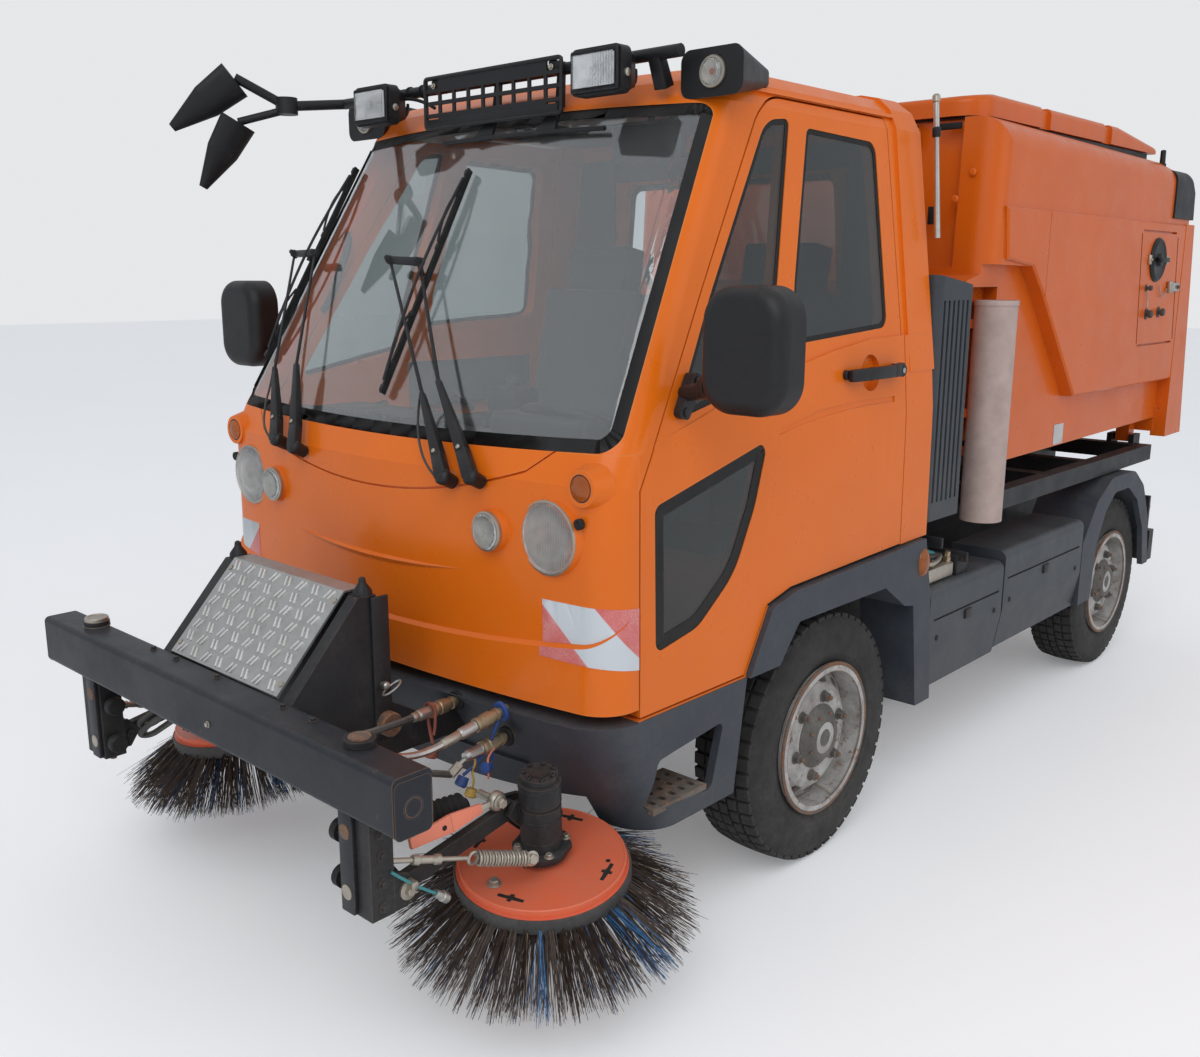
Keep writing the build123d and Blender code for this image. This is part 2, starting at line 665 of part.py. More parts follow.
step_recess = [(-800, 420, 20), (-540, 400, 20), (-515, 590, 20), (-780, 560, 20)]
panel_outline_low = [(-500, 498), (500, 498), (540, 668), (-540, 668)]
panel_set_back = 12.0
bumper_form = bumper_volume(0, 348.0, cab_bottom)
bumper_behind_panel = bumper_volume(panel_set_back, 348.0, cab_bottom)
bumper_hollow = bumper_volume(bumper_wall, 340.0, 672.0)
with BuildPart() as centre_recess:
    cross_solid(panel_outline_low, -1200, -700)
    add(bumper_behind_panel, mode=Mode.SUBTRACT)
with BuildPart() as bumper:
    add(bumper_form)
    add(centre_recess.part, mode=Mode.SUBTRACT)
    add(bumper_hollow, mode=Mode.SUBTRACT)
    block((-640, 640), (-860, -400), (300, 800), mode=Mode.SUBTRACT)
    side_solid(step_recess, -beyond, beyond, mode=Mode.SUBTRACT)
    add(cab_outer.part, mode=Mode.SUBTRACT)
    add(front_bracket.part, mode=Mode.SUBTRACT)
step_x = 720.0
step_holes = (3, 5)
with BuildPart() as cab_steps:
    for side in (1, -1):
        block((side * step_x - 75, side * step_x + 75), (-778, -560), (405, 421))
    with BuildSketch(level(400)):
        with Locations((step_x, -668), (-step_x, -668)):
            with GridLocations(42, 40, *step_holes):
                SlotOverall(26, 15)
    extrude(amount=30, mode=Mode.SUBTRACT)
    add(bumper.part, mode=Mode.SUBTRACT)

# Wheel arch cladding at the front, fenders at the rear; the fender rows start from the rear axle
arch_outline = [(-430, 690), (-424, 700), (-334, 862, 30), (-222, 888), (530, 911), (585, 700),
                (622, 344), (522, 344), (468, 700), (410, 712), (280, 796), (-200, 796, 20), (-290, 690)]
arch_depth = 195.0
fender_lip_x = 792.0
fender_inner_x = 560.0
fender_clearance = 36.0
fender_outer = [(-448, 640), (-320, 800, 60), (-160, 885, 120), (120, 885, 120), (260, 800, 100),
                (360, 640, 60)]
fender_opening = [(350, 406), (300, 590), (190, 740, 60), (60, 815, 80), (-110, 815, 80),
                  (-210, 740, 60), (-290, 600), (-310, 373)]


def from_rear_axle(rows):
    """Rows of an outline moved from the rear axle to the front axle."""
    return [(row[0] + wheelbase,) + tuple(row[1:]) for row in rows]


with BuildPart() as front_arches:
    for side in (1, -1):
        side_solid(arch_outline, side * 640, side * (640 + arch_depth))
    add(cab_outer.part, mode=Mode.SUBTRACT)
    add(bumper.part, mode=Mode.SUBTRACT)
with BuildPart() as rear_fenders:
    for side in (1, -1):
        lip_rows = [(-448, 373)] + fender_outer + [(422, 406)] + fender_opening
        side_solid(from_rear_axle(lip_rows), side * fender_lip_x, side * (cab_half_width - 5))
        tunnel_rows = [(-448, 570)] + fender_outer + [(381, 570)]
        side_solid(from_rear_axle(tunnel_rows), side * fender_inner_x, side * fender_lip_x)
    pin(-fender_lip_x, fender_lip_x, (wheelbase, tyre_radius), tyre_radius + fender_clearance,
        mode=Mode.SUBTRACT)
    add(leaf_springs.part, mode=Mode.SUBTRACT)

# Boxes between the axles: start, end, bottom and top of each
side_box_rows = [(632.0, 1205.0, 355.0, 710.0), (1217.0, wheelbase - 456.0, 370.0, 745.0)]
side_box_depth = 215.0
with BuildPart() as side_boxes:
    for side in (1, -1):
        for start, end, low, high in side_box_rows:
            with BuildSketch(cross_plane(end)) as face:
                with BuildLine():
                    Polyline((side * 600, high), (side * 815, high), (side * 815, low + 150),
                             (side * 790, low), (side * 600, low), close=True)
                make_face()
                outer_top = face.vertices().sort_by_distance((side * 815, high))[0]
                fillet(outer_top, 32)
            extrude(amount=end - start)
            block((min(side * 806, side * 830), max(side * 806, side * 830)), (start + 30, end - 30),
                  (high - 112, high - 104), mode=Mode.SUBTRACT)

# Front tool beam and tread plate
beam_front = -1586.0
beam_depth = 100.0
beam_top = 777.0
beam_height = 130.0
beam_half = 805.0
post_x = 612.0
post_y = -1520.0
pin_radius = 26.0
post_low = 400.0
with BuildPart() as front_beam:
    block((-beam_half, beam_half), (beam_front, beam_front + beam_depth), (beam_top - beam_height, beam_top))
    fillet(front_beam.edges().filter_by(Axis.X), 14)
    for side in (1, -1):
        post((side * post_x, post_y), beam_top - beam_height - 1, beam_top + 1, pin_radius + running_gap,
             mode=Mode.SUBTRACT)

tread_half = 248.0
tread_outline = [(plate_front, 774), (-1290, 989), (-1240, 989), (-1240, 994), (-1292, 994),
                 (plate_front - 4, 780)]
with BuildPart() as tread_plate:
    side_solid(tread_outline, -tread_half, tread_half)
    add(front_beam.part, mode=Mode.SUBTRACT)
    add(front_bracket.part, mode=Mode.SUBTRACT)

# Side brushes: swinging bracket on the beam's pin, lifting link, head with the motor, disc, bristles.
# They are stored raised, leaning forwards and outwards.
brush_centre = spot(684, -1061, 369)
brush_axis = Vector(0.085, -0.12, 1).normalized()
brush_plane = Plane(origin=brush_centre, x_dir=(1, 0, -0.085), z_dir=brush_axis)
disc_radius = 202.0
disc_thickness = 20.0
disc_slots = 4
ring_radius = 212.0
ring_depth = 55.0
bristle_tip_radius = 376.0
bristle_depth = 163.0
# Motor: from, to and radius along the brush's axis
motor_rows = [(12.0, 36.0, 62.0), (30.0, 150.0, 50.0), (150.0, 158.0, 46.0), (158.0, 215.0, 51.0),
              (215.0, 232.0, 44.0)]
lift_pivot = (-1455.0, 440.0)
head_pivot = (-1130.0, 500.0)
link_x = 640.0
link_width = 24.0
ear_width = 12.0
ear_gap = 6.0
lift_pin_radius = 10.0
inner_ear_x = link_x - link_width / 2 - ear_gap - ear_width
outer_ear_x = link_x + link_width / 2 + ear_gap
bracket_ear = [(post_y, post_low), (lift_pivot[0], post_low), (lift_pivot[0] + 28, lift_pivot[1]),
               (lift_pivot[0], lift_pivot[1] + 40), (post_y, lift_pivot[1] + 60)]
link_outline = [(lift_pivot[0], lift_pivot[1] - 20), (head_pivot[0], head_pivot[1] - 20),
                (head_pivot[0], head_pivot[1] + 20), (lift_pivot[0], lift_pivot[1] + 20)]
head_ear = [(head_pivot[0] - 26, head_pivot[1]), (head_pivot[0], head_pivot[1] + 28), (-1075, 520),
            (-1075, 420), (head_pivot[0], head_pivot[1] - 28)]
with BuildPart() as brush_bracket_left:
    post((post_x, post_y), post_low + 30, beam_top + 14, pin_radius)
    post((post_x, post_y), beam_top + 2, beam_top + 16, 34)
    block((post_x - 45, post_x + 60), (post_y - 30, post_y + 30), (post_low, beam_top - beam_height - 8))
    for near in (inner_ear_x, outer_ear_x):
        side_solid(bracket_ear, near, near + ear_width)
    pin(inner_ear_x, outer_ear_x + ear_width, lift_pivot, lift_pin_radius + running_gap, mode=Mode.SUBTRACT)
with BuildPart() as brush_link_left:
    side_solid(link_outline, link_x - link_width / 2, link_x + link_width / 2)
    for pivot in (lift_pivot, head_pivot):
        pin(link_x - link_width / 2, link_x + link_width / 2, pivot, 24)
    pin(inner_ear_x - 6, outer_ear_x + ear_width + 6, lift_pivot, lift_pin_radius)
    pin(link_x - link_width, link_x + link_width, head_pivot, lift_pin_radius + running_gap,
        mode=Mode.SUBTRACT)
with BuildPart() as brush_head_left:
    for low, high, radius in motor_rows:
        with BuildSketch(brush_plane.offset(low)):
            Circle(radius)
        extrude(amount=high - low)
    for near in (inner_ear_x, outer_ear_x):
        side_solid(head_ear, near, near + ear_width)
    pin(inner_ear_x, outer_ear_x + ear_width, head_pivot, lift_pin_radius)
with BuildPart() as brush_disc_left:
    with BuildSketch(brush_plane.offset(-disc_thickness)):
        Circle(disc_radius)
    extrude(amount=disc_thickness)
    with BuildSketch(brush_plane.offset(-ring_depth)):
        Circle(ring_radius)
    extrude(amount=ring_depth - disc_thickness)
    with BuildSketch(brush_plane.offset(-8)):
        with PolarLocations(disc_radius - 34, disc_slots, start_angle=20):
            SlotOverall(66, 12, rotation=90)
    extrude(amount=20, mode=Mode.SUBTRACT)
with BuildPart() as bristles_left:
    with BuildSketch(brush_plane.offset(-bristle_depth)):
        Circle(bristle_tip_radius)
    with BuildSketch(brush_plane.offset(-ring_depth)):
        Circle(ring_radius)
    loft(ruled=True)
    with BuildSketch(brush_plane.offset(-bristle_depth)):
        Circle(bristle_tip_radius - 110)
    with BuildSketch(brush_plane.offset(-ring_depth)):
        Circle(ring_radius - 80)
    loft(ruled=True, mode=Mode.SUBTRACT)

# Hopper: hollow body with wide flanks above a narrower tank, proud side panels, columns at the rear
hopper_wall = 25.0
hopper_half = 790.0
tank_half = 750.0
hopper_top = 2258.0
shoulder_radius = 85.0
panel_proud = 14.0
column_x = 806.0
hopper_outline = [(975, 1235), (900, 1240), (868, 1720), (960, 1740), (985, hopper_top),
                  (2700, hopper_top - 28), (2960, hopper_top - 54), (3022, 2120), (3030, 1968),
                  (3150, 1000), (2950, 1019), (2940, 1086), (1290, 1070)]
panel_outline = [(1034, 1966), (1066, 1793), (1281, 1771), (1390, 1673), (1770, 1275), (2980, 1271),
                 (2980, 1966)]
column_outline = [(2952, 998), (3180, 1000), (3062, 1968), (2952, 1968)]
flank_recess = [(700, 900), (700, 1780), (1281, 1771), (1390, 1673), (1770, 1273), (2952, 1271),
                (2952, 900)]
front_recess = [(900, 1765), (1006, 1765), (1030, 2300), (900, 2300)]
recess_half = 650.0
# Hollows: outline and half width
hollow_rows = [
    ([(1140, 1120), (1140, 2213), (2950, 2172), (2960, 2090), (3200, 1120)], tank_half - hopper_wall),
    ([(1060, 1730), (1060, 2215), (1150, 2213), (1150, 1730)], tank_half - hopper_wall),
    ([(930, 1265), (897, 1690), (1150, 1690), (1150, 1265)], 665.0),
]
pipe_centre = (785.0, 1035.0)
pipe_radius = 72.0
pipe_wall = 6.0
pipe_low = 890.0
pipe_high = 1650.0
seam_distance = 1400.0
hatch_slots = [(2390, 2830, 1921), (2440, 2900, 1440)]
# Lid: a cover with three humps between recessed bands, hinged on its right edge
lid_half = 700.0
lid_front = 990.0
lid_rear = 2760.0
lid_bottom = hopper_top + 7.0
lid_top = lid_bottom + 75.0
lid_wall = 24.0
lid_crown = 22.0
lid_fall = 44.0
band_depth = 12.0
lid_bands = [(1500.0, 1580.0), (2130.0, 2210.0)]
lid_hinge_x = -712.0
lid_hinge_height = lid_bottom + 7.0
lid_hinge_ends = (1125.0, 2560.0)
hinge_pin_radius = 5.0
hinge_barrel_radius = 9.0

# Rear door's hinge: half width of the door, place, tube and pin
door_half = 690.0
door_hinge = (3054.0, 2012.0)
door_tube_radius = 14.0
door_pin_radius = 8.0

with BuildPart() as side_panel:
    side_solid(panel_outline, hopper_half - 15, hopper_half + panel_proud)
    chamfer(side_panel.faces().sort_by(Axis.X)[-1].edges(), 7)
    block((hopper_half + 8, column_x), (seam_distance, seam_distance + 4), (1500, 1966),
          mode=Mode.SUBTRACT)
    for start, end, height in hatch_slots:
        block((hopper_half + 2, column_x), (start, end), (height, height + 9), mode=Mode.SUBTRACT)
with BuildPart() as hopper_body:
    side_solid(hopper_outline, -hopper_half, hopper_half)
    outer_edges = hopper_body.edges().filter_by(lambda e: abs(abs(e.center().X) - hopper_half) < 1)
    rounded = outer_edges.filter_by(lambda e: e.center().Z > 1800 and e.center().Y < front_axle_y + 2900)
    fillet(rounded, shoulder_radius)
    for side in (1, -1):
        side_solid(flank_recess, side * tank_half, side * beyond, mode=Mode.SUBTRACT)
        side_solid(column_outline, side * (tank_half - 10), side * column_x)
    add(side_panel.part)
    mirror(side_panel.part, about=Plane.YZ)
    side_solid(front_recess, -recess_half, recess_half, mode=Mode.SUBTRACT)
    for outline, half in hollow_rows:
        side_solid(outline, -half, half, mode=Mode.SUBTRACT)
    block((-640, 640), (1060, 2690), (2000, 2300), mode=Mode.SUBTRACT)
    block((700, beyond), (800, 1112), (1000, 1700), mode=Mode.SUBTRACT)
    for height in (1250, 1560):
        block((690, 760), (1000, 1070), (height, height + 30))
    post(pipe_centre, pipe_low, pipe_high + 20, pipe_radius, mode=Mode.SUBTRACT)
    for side in (1, -1):
        block((side * tip_ear_x - tip_ear_half, side * tip_ear_x + tip_ear_half), (2870, 2940),
              (subframe_top + 5, 1090))
        pin(side * tip_ear_x - 40, side * tip_ear_x + 40, tip_pivot, tip_pin_radius, mode=Mode.SUBTRACT)
        side_solid([(3000, 1992), (3070, 1992), (3070, 2032), (3000, 2040)], side * (door_half + 6),
                   side * (door_half + 30))
        pin(side * (door_half - 20), side * (door_half + 20), door_hinge, door_pin_radius)
    for distance in (lid_hinge_ends[0] - 24, lid_hinge_ends[1] + 6):
        block((lid_hinge_x - 10, lid_hinge_x + 6), (distance, distance + 18),
              (hopper_top - 40, lid_hinge_height + 9))
    for start in (lid_hinge_ends[0] - 20, lid_hinge_ends[1] - 10):
        long_bar(lid_hinge_x, lid_hinge_height, start, start + 30, hinge_pin_radius)
with BuildPart() as tool_pipe:
    post(pipe_centre, pipe_low, pipe_high, pipe_radius)
    post(pipe_centre, pipe_low - 10, pipe_high + 10, pipe_radius - pipe_wall, mode=Mode.SUBTRACT)

# Black mouldings at the hopper's upper rear corners: inner x, start and end
corner_rows = [(740.0, 2790.0, 3000.0), (700.0, 3000.0, 3064.0)]
corner_cut = [(3066, 1960), (3052, 2110), (2975, 2196), (2940, 2196), (2940, 2260), (3120, 2260),
              (3120, 1960)]
with BuildPart() as corner_mouldings:
    for side in (1, -1):
        for inner, start, end in corner_rows:
            corner_section = [(side * inner, 1990), (side * 798, 1990), (side * 798, 2200, 50),
                              (side * inner, 2200)]
            cross_solid(corner_section, start, end)
    side_solid(corner_cut, -beyond, beyond, mode=Mode.SUBTRACT)
    add(hopper_body.part, mode=Mode.SUBTRACT)


def lid_volume(inset, crown):
    """The cover's outer form, or a copy set in."""
    near, far = lid_front + inset, lid_rear - inset
    profile = [(near, lid_bottom), (near, lid_top - 12 - inset), (near + 120, lid_top - inset),
               (2300, lid_top - inset), (far, lid_top - lid_fall - inset), (far, lid_bottom)]
    with BuildPart() as volume:
        side_solid(profile, inset - lid_half, lid_half - inset)
        fillet(volume.edges().filter_by(Axis.Z).group_by(Axis.Y)[0], 110 - inset)
        if crown:
            top_edges = volume.edges().filter_by(lambda e: e.center().Z > lid_bottom + 25)
            outer = top_edges.filter_by(lambda e: abs(e.center().X) > 1)
            ends = top_edges.filter_by(lambda e: abs(e.center().X) < 1).sort_by(Axis.Y)
            fillet(outer + [ends[0], ends[-1]], crown)
    return volume.part


lid_full = lid_volume(0, lid_crown)
lid_core = lid_volume(band_depth, 0)
lid_hollow = lid_volume(lid_wall, 0)
with BuildPart() as band_grooves:
    for start, end in lid_bands:
        block((-beyond, beyond), (start, end), (lid_bottom - 5, lid_top + 100))
    add(lid_core, mode=Mode.SUBTRACT)
with BuildPart() as hopper_lid:
    add(lid_full)
    add(band_grooves.part, mode=Mode.SUBTRACT)
    add(lid_hollow, mode=Mode.SUBTRACT)
    block((lid_hinge_x, -lid_half + 6), lid_hinge_ends, (lid_bottom, lid_bottom + 14))
    long_bar(lid_hinge_x, lid_hinge_height, *lid_hinge_ends, hinge_barrel_radius)
    long_bar(lid_hinge_x, lid_hinge_height, lid_hinge_ends[0] - 10, lid_hinge_ends[1] + 10,
             hinge_pin_radius + running_gap, mode=Mode.SUBTRACT)
# Seal under the lid, on the hopper's top
below_lid = [(900, 2100), (900, hopper_top), (985, hopper_top), (2700, hopper_top - 28),
             (2960, hopper_top - 54), (2960, 2100)]
with BuildPart() as hopper_trim:
    block((-688, 688), (1012, 2745), (2150, lid_bottom - 4))
    fillet(hopper_trim.edges().filter_by(Axis.Z), 70)
    block((-645, 645), (1055, 2700), (2100, 2400), mode=Mode.SUBTRACT)
    add(hopper_body.part, mode=Mode.SUBTRACT)
    side_solid(below_lid, -beyond, beyond, mode=Mode.SUBTRACT)
    add(corner_mouldings.part)

# Rear door of the hopper
door_slab = [(3036, 1985), (3040, 2000), (3066, 2004), (3188, 1010), (3158, 1010)]
with BuildPart() as hopper_door:
    side_solid(door_slab, -door_half, door_half)
    pin(-door_half, door_half, door_hinge, door_tube_radius)
    for side in (1, -1):
        pin(side * (door_half - 30), side * (door_half + 5), door_hinge, door_pin_radius + running_gap,
            mode=Mode.SUBTRACT)

# Ribbed air box behind the cab
with BuildPart() as air_box:
    with BuildSketch(level(950)):
        with Locations((690, 700)):
            RectangleRounded(230, 250, 30)
    extrude(amount=800)
    side_solid([(500, 1750), (860, 1702), (860, 1800), (500, 1800)], 500, beyond, mode=Mode.SUBTRACT)
    for rib in range(6):
        block((796, beyond), (606 + 32 * rib, 620 + 32 * rib), (1010, 1660), mode=Mode.SUBTRACT)

# Suction mouth and duct between the axles
mouth_distance = (1260.0, 1560.0)
mouth_half = 380.0
duct_centre = (0.0, 1420.0)
duct_radius = 110.0
with BuildPart() as suction_mouth:
    block((-mouth_half, mouth_half), mouth_distance, (40, 200))
    block((15 - mouth_half, mouth_half - 15), (mouth_distance[0] + 15, mouth_distance[1] - 15), (20, 185),
          mode=Mode.SUBTRACT)
    post(duct_centre, 185, 580, duct_radius)
    post(duct_centre, 10, 710, duct_radius - 10, mode=Mode.SUBTRACT)

# Roof bar with number plate carrier, work lamps, pods, brush mirrors
bar_distance = -525.0
bar_rise = 6.0
bar_height = roof_height + bar_rise
bar_radius = 16.0
plate_half = 278.0
plate_low = bar_height - 116
plate_high = bar_height + 22
with BuildPart() as roof_bar:
    rod(spot(-735, bar_distance, bar_height), spot(625, bar_distance, bar_height), bar_radius)
    block((-plate_half, plate_half), (bar_distance - 45, bar_distance - 33), (plate_low, plate_high))
    for x in (-240, 240):
        block((x - 15, x + 15), (bar_distance - 35, bar_distance + 4), (bar_height - 15, bar_height + 15))
    for x in (-560, 560):
        block((x - 20, x + 20), (bar_distance - 4, bar_distance + 60), (bar_height - 80, bar_height + 5))
    add(cab_outer.part, mode=Mode.SUBTRACT)
lamp_x = 455.0
lamp_distance = -615.0
work_lamp_width = 170.0
work_lamp_tall = 112.0
with BuildPart() as work_lamps:
    for side in (1, -1):
        with BuildSketch(cross_plane(lamp_distance + 22)):
            with Locations((side * lamp_x, bar_height - 40)):
                RectangleRounded(work_lamp_width, work_lamp_tall, 20)
        extrude(amount=37)
        with BuildSketch(cross_plane(lamp_distance + 22)):
            with Locations((side * lamp_x, bar_height - 40)):
                RectangleRounded(work_lamp_width - 6, work_lamp_tall - 6, 18)
        extrude(amount=-38, taper=24)
        block((side * lamp_x - 14, side * lamp_x + 14), (lamp_distance + 40, bar_distance),
              (bar_height - 14, bar_height + 8))
    add(roof_bar.part, mode=Mode.SUBTRACT)
pod_lamp_radius = 38.0
with BuildPart() as roof_pods:
    for side in (1, -1):
        with BuildSketch(cross_plane(-475)):
            with Locations((side * 695, bar_height - 50)):
                RectangleRounded(190, 115, 30)
        with BuildSketch(cross_plane(-225)):
            with Locations((side * 655, bar_height - 34)):
                RectangleRounded(70, 50, 15)
        loft(ruled=True)
        with BuildSketch(cross_plane(-462)):
            with Locations((side * 700, bar_height - 50)):
                Circle(pod_lamp_radius + 2)
        extrude(amount=30, mode=Mode.SUBTRACT)
    add(cab_outer.part, mode=Mode.SUBTRACT)
    add(roof_bar.part, mode=Mode.SUBTRACT)
    add(cab_shell.part, mode=Mode.SUBTRACT)
arm_joint = spot(-800, -700, 2250)
mirror_rows = [(spot(-860, -840, 2318), spot(-985, -990, 2175)),
               (spot(-862, -835, 2196), spot(-940, -925, 2000))]
with BuildPart() as brush_mirrors:
    rod(spot(-735, bar_distance, bar_height), arm_joint, 15)
    with BuildSketch(Plane(origin=arm_joint, z_dir=(0, 0, 1))):
        Circle(34)
    extrude(amount=25, both=True)
    rod(arm_joint, spot(-860, -840, 2325), 14)
    rod(arm_joint - Vector(0, 0, 10), spot(-862, -835, 2196), 12)
    for start, end in mirror_rows:
        reach = end - start
        with BuildSketch(Plane(origin=start, z_dir=reach)):
            Ellipse(60, 26)
        with BuildSketch(Plane(origin=start + reach * 0.45, z_dir=reach)):
            Ellipse(52, 22)
        with BuildSketch(Plane(origin=end, z_dir=reach)):
            Ellipse(14, 8)
        loft(ruled=True)
    add(roof_bar.part, mode=Mode.SUBTRACT)

# Wipers: x of each pivot
wiper_rows = [-560.0, 180.0]
with BuildPart() as wipers:
    for x in wiper_rows:
        block((x - 15, x + 15), (-1075, -1045), (1240, 1330))
        rod(spot(x, -1060, 1300), spot(x - 60, -890, 1700), 10)
        rod(spot(x - 100, -1010, 1420), spot(x + 40, -700, 2080), 9)
    add(cab_outer.part, mode=Mode.SUBTRACT)
    add(cab_fascia.part, mode=Mode.SUBTRACT)

wheel_rear = wheel(rear_wheel_x, wheelbase)
wheel_front = wheel(front_wheel_x, 0)
tyre_rear = tyre(rear_wheel_x, wheelbase)
tyre_front = tyre(front_wheel_x, 0)

pieces = {
    "chassis_frame": chassis_frame.part, "front_axle": front_axle.part, "rear_axle": rear_axle.part,
    "leaf_springs": leaf_springs.part, "engine_block": engine_block.part, "subframe": subframe.part,
    "cab_shell": cab_shell.part, "cab_fascia": cab_fascia.part, "cab_glass": cab_glass.part,
    "seats": seats.part, "dashboard": dashboard.part, "steering_wheel": steering_wheel.part,
    "bumper": bumper.part,
    "cab_steps": cab_steps.part, "front_arches": front_arches.part, "rear_fenders": rear_fenders.part,
    "side_boxes": side_boxes.part, "front_beam": front_beam.part, "front_bracket": front_bracket.part,
    "tread_plate": tread_plate.part, "hopper_body": hopper_body.part, "hopper_lid": hopper_lid.part,
    "hopper_door": hopper_door.part, "air_box": air_box.part, "tool_pipe": tool_pipe.part,
    "suction_mouth": suction_mouth.part, "roof_bar": roof_bar.part, "work_lamps": work_lamps.part,
    "roof_pods": roof_pods.part, "brush_mirrors": brush_mirrors.part, "wipers": wipers.part,
    "headlamps": headlamps.part, "hopper_trim": hopper_trim.part, "rear_bar": rear_bar.part,
}
left_pieces = {
    "door": door_left.part, "door_glass": door_glass_left.part, "door_mirror": door_mirror_left.part,
    "knuckle": knuckle_left.part, "wheel_front": wheel_front, "wheel_rear": wheel_rear,
    "tyre_front": tyre_front, "tyre_rear": tyre_rear, "brush_bracket": brush_bracket_left.part,
    "brush_link": brush_link_left.part, "brush_head": brush_head_left.part,
    "brush_disc": brush_disc_left.part, "bristles": bristles_left.part,
}
for label, piece in left_pieces.items():
    pieces[label + "_left"] = piece
    pieces[label + "_right"] = mirror(piece, about=Plane.YZ)
for label, piece in pieces.items():
    piece.label = label
    export_step(piece, f"parts/{label}.step")
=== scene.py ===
import json
import math
import random

import bmesh
import bpy
from mathutils import Matrix, Vector


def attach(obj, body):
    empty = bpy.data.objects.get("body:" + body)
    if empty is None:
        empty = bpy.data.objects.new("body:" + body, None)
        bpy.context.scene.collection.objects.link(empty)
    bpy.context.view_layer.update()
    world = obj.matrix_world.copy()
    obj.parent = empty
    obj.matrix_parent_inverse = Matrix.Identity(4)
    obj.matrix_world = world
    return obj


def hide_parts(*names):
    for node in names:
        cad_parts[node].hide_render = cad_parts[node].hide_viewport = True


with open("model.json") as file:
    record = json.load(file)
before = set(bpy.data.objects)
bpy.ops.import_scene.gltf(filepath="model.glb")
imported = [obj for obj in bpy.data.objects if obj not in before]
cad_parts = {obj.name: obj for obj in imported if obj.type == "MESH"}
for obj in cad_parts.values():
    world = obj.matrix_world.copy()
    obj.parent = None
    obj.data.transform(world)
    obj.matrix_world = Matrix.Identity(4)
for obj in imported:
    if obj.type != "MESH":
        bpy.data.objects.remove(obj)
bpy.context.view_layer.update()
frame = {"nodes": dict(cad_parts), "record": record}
nodes = frame["nodes"]

# the front axle lies this far ahead of the origin, in metres; along(d) is d behind the axle
axleY = -0.8


def along(d):
    return axleY + d


def spot(x, distance, height):
    return Vector((x, along(distance), height))


# camera, floor and light
view = {"place": (2.5047, along(-2.8428), 1.7352), "yaw": 0.7425, "pitch": 0.2162, "roll": 0.0027,
        "lens": 34.58}
studio = {"floor": (0.92, 0.92, 0.92), "sky": (0.90, 0.94, 1.0), "skyStrength": 0.62,
          "behind": (0.79, 0.80, 0.815), "floorGlow": 0.22, "key": 330, "keySize": 7,
          "keyPlace": (4.5, -7.5, 7.5), "fill": 50, "fillPlace": (7, 1, 4)}


def addCamera():
    cameraData = bpy.data.cameras.new("photoCamera")
    cameraData.lens = view["lens"]
    cameraData.sensor_width = 36.0
    camera = bpy.data.objects.new("photoCamera", cameraData)
    bpy.context.scene.collection.objects.link(camera)
    turn = Matrix.Rotation(view["yaw"], 4, "Z") @ Matrix.Rotation(math.pi / 2 - view["pitch"], 4, "X")
    turn = turn @ Matrix.Rotation(view["roll"], 4, "Z")
    camera.matrix_world = Matrix.Translation(view["place"]) @ turn
    bpy.context.scene.camera = camera


def addLamp(name, energy, size, place):
    lampData = bpy.data.lights.new(name, "AREA")
    lampData.energy = energy
    lampData.size = size
    lamp = bpy.data.objects.new(name, lampData)
    bpy.context.scene.collection.objects.link(lamp)
    lamp.location = place
    lamp.visible_transmission = False
    lamp.rotation_euler = (Vector((0, 0, 1)) - Vector(place)).to_track_quat("-Z", "Y").to_euler()


def addStage():
    clearPick()
    bpy.ops.mesh.primitive_plane_add(size=80)
    floor = bpy.context.object
    floor.name = "floor"
    floor.data.materials.append(floorPaint())
    world = bpy.data.worlds.new("studio")
    bpy.context.scene.world = world
    world.use_nodes = True
    tree = world.node_tree
    sky = tree.nodes["Background"]
    sky.inputs["Color"].default_value = (*studio["sky"], 1)
    sky.inputs["Strength"].default_value = studio["skyStrength"]
    behind = addNode(tree, "ShaderNodeBackground", {"Color": (*studio["behind"], 1), "Strength": 1.0})
    ways = addNode(tree, "ShaderNodeLightPath").outputs
    mixed = addNode(tree, "ShaderNodeMixShader", {0: ways["Is Camera Ray"], 1: sky.outputs["Background"],
                                                  2: behind.outputs["Background"]})
    tree.links.new(mixed.outputs["Shader"], tree.nodes["World Output"].inputs["Surface"])
    addLamp("keyLight", studio["key"], studio["keySize"], studio["keyPlace"])
    addLamp("fillLight", studio["fill"], 5, studio["fillPlace"])


# shader node helpers
def addNode(tree, kind, inputs=None, **settings):
    node = tree.nodes.new(kind)
    for key, value in settings.items():
        setattr(node, key, value)
    for key, value in (inputs or {}).items():
        socket = node.inputs[key]
        if isinstance(value, bpy.types.NodeSocket):
            tree.links.new(value, socket)
        else:
            socket.default_value = value
    return node


def doMath(tree, operation, first, second=0.0, clamp=False):
    node = addNode(tree, "ShaderNodeMath", {0: first, 1: second}, operation=operation, use_clamp=clamp)
    return node.outputs["Value"]


def stretch(tree, value, low, high, toLow=0.0, toHigh=1.0):
    node = addNode(tree, "ShaderNodeMapRange", {"Value": value, "From Min": low, "From Max": high,
                                                "To Min": toLow, "To Max": toHigh}, clamp=True)
    return node.outputs["Result"]


def noiseAt(tree, vector, scale, detail=3.0, roughness=0.55):
    node = addNode(tree, "ShaderNodeTexNoise", {"Vector": vector, "Scale": scale, "Detail": detail,
                                                "Roughness": roughness})
    return node.outputs["Fac"]


def blendColour(tree, factor, first, second):
    node = addNode(tree, "ShaderNodeMix", data_type="RGBA", blend_type="MIX")
    plug(tree, node.inputs[0], factor)
    plug(tree, node.inputs[6], first)
    plug(tree, node.inputs[7], second)
    return node.outputs[2]


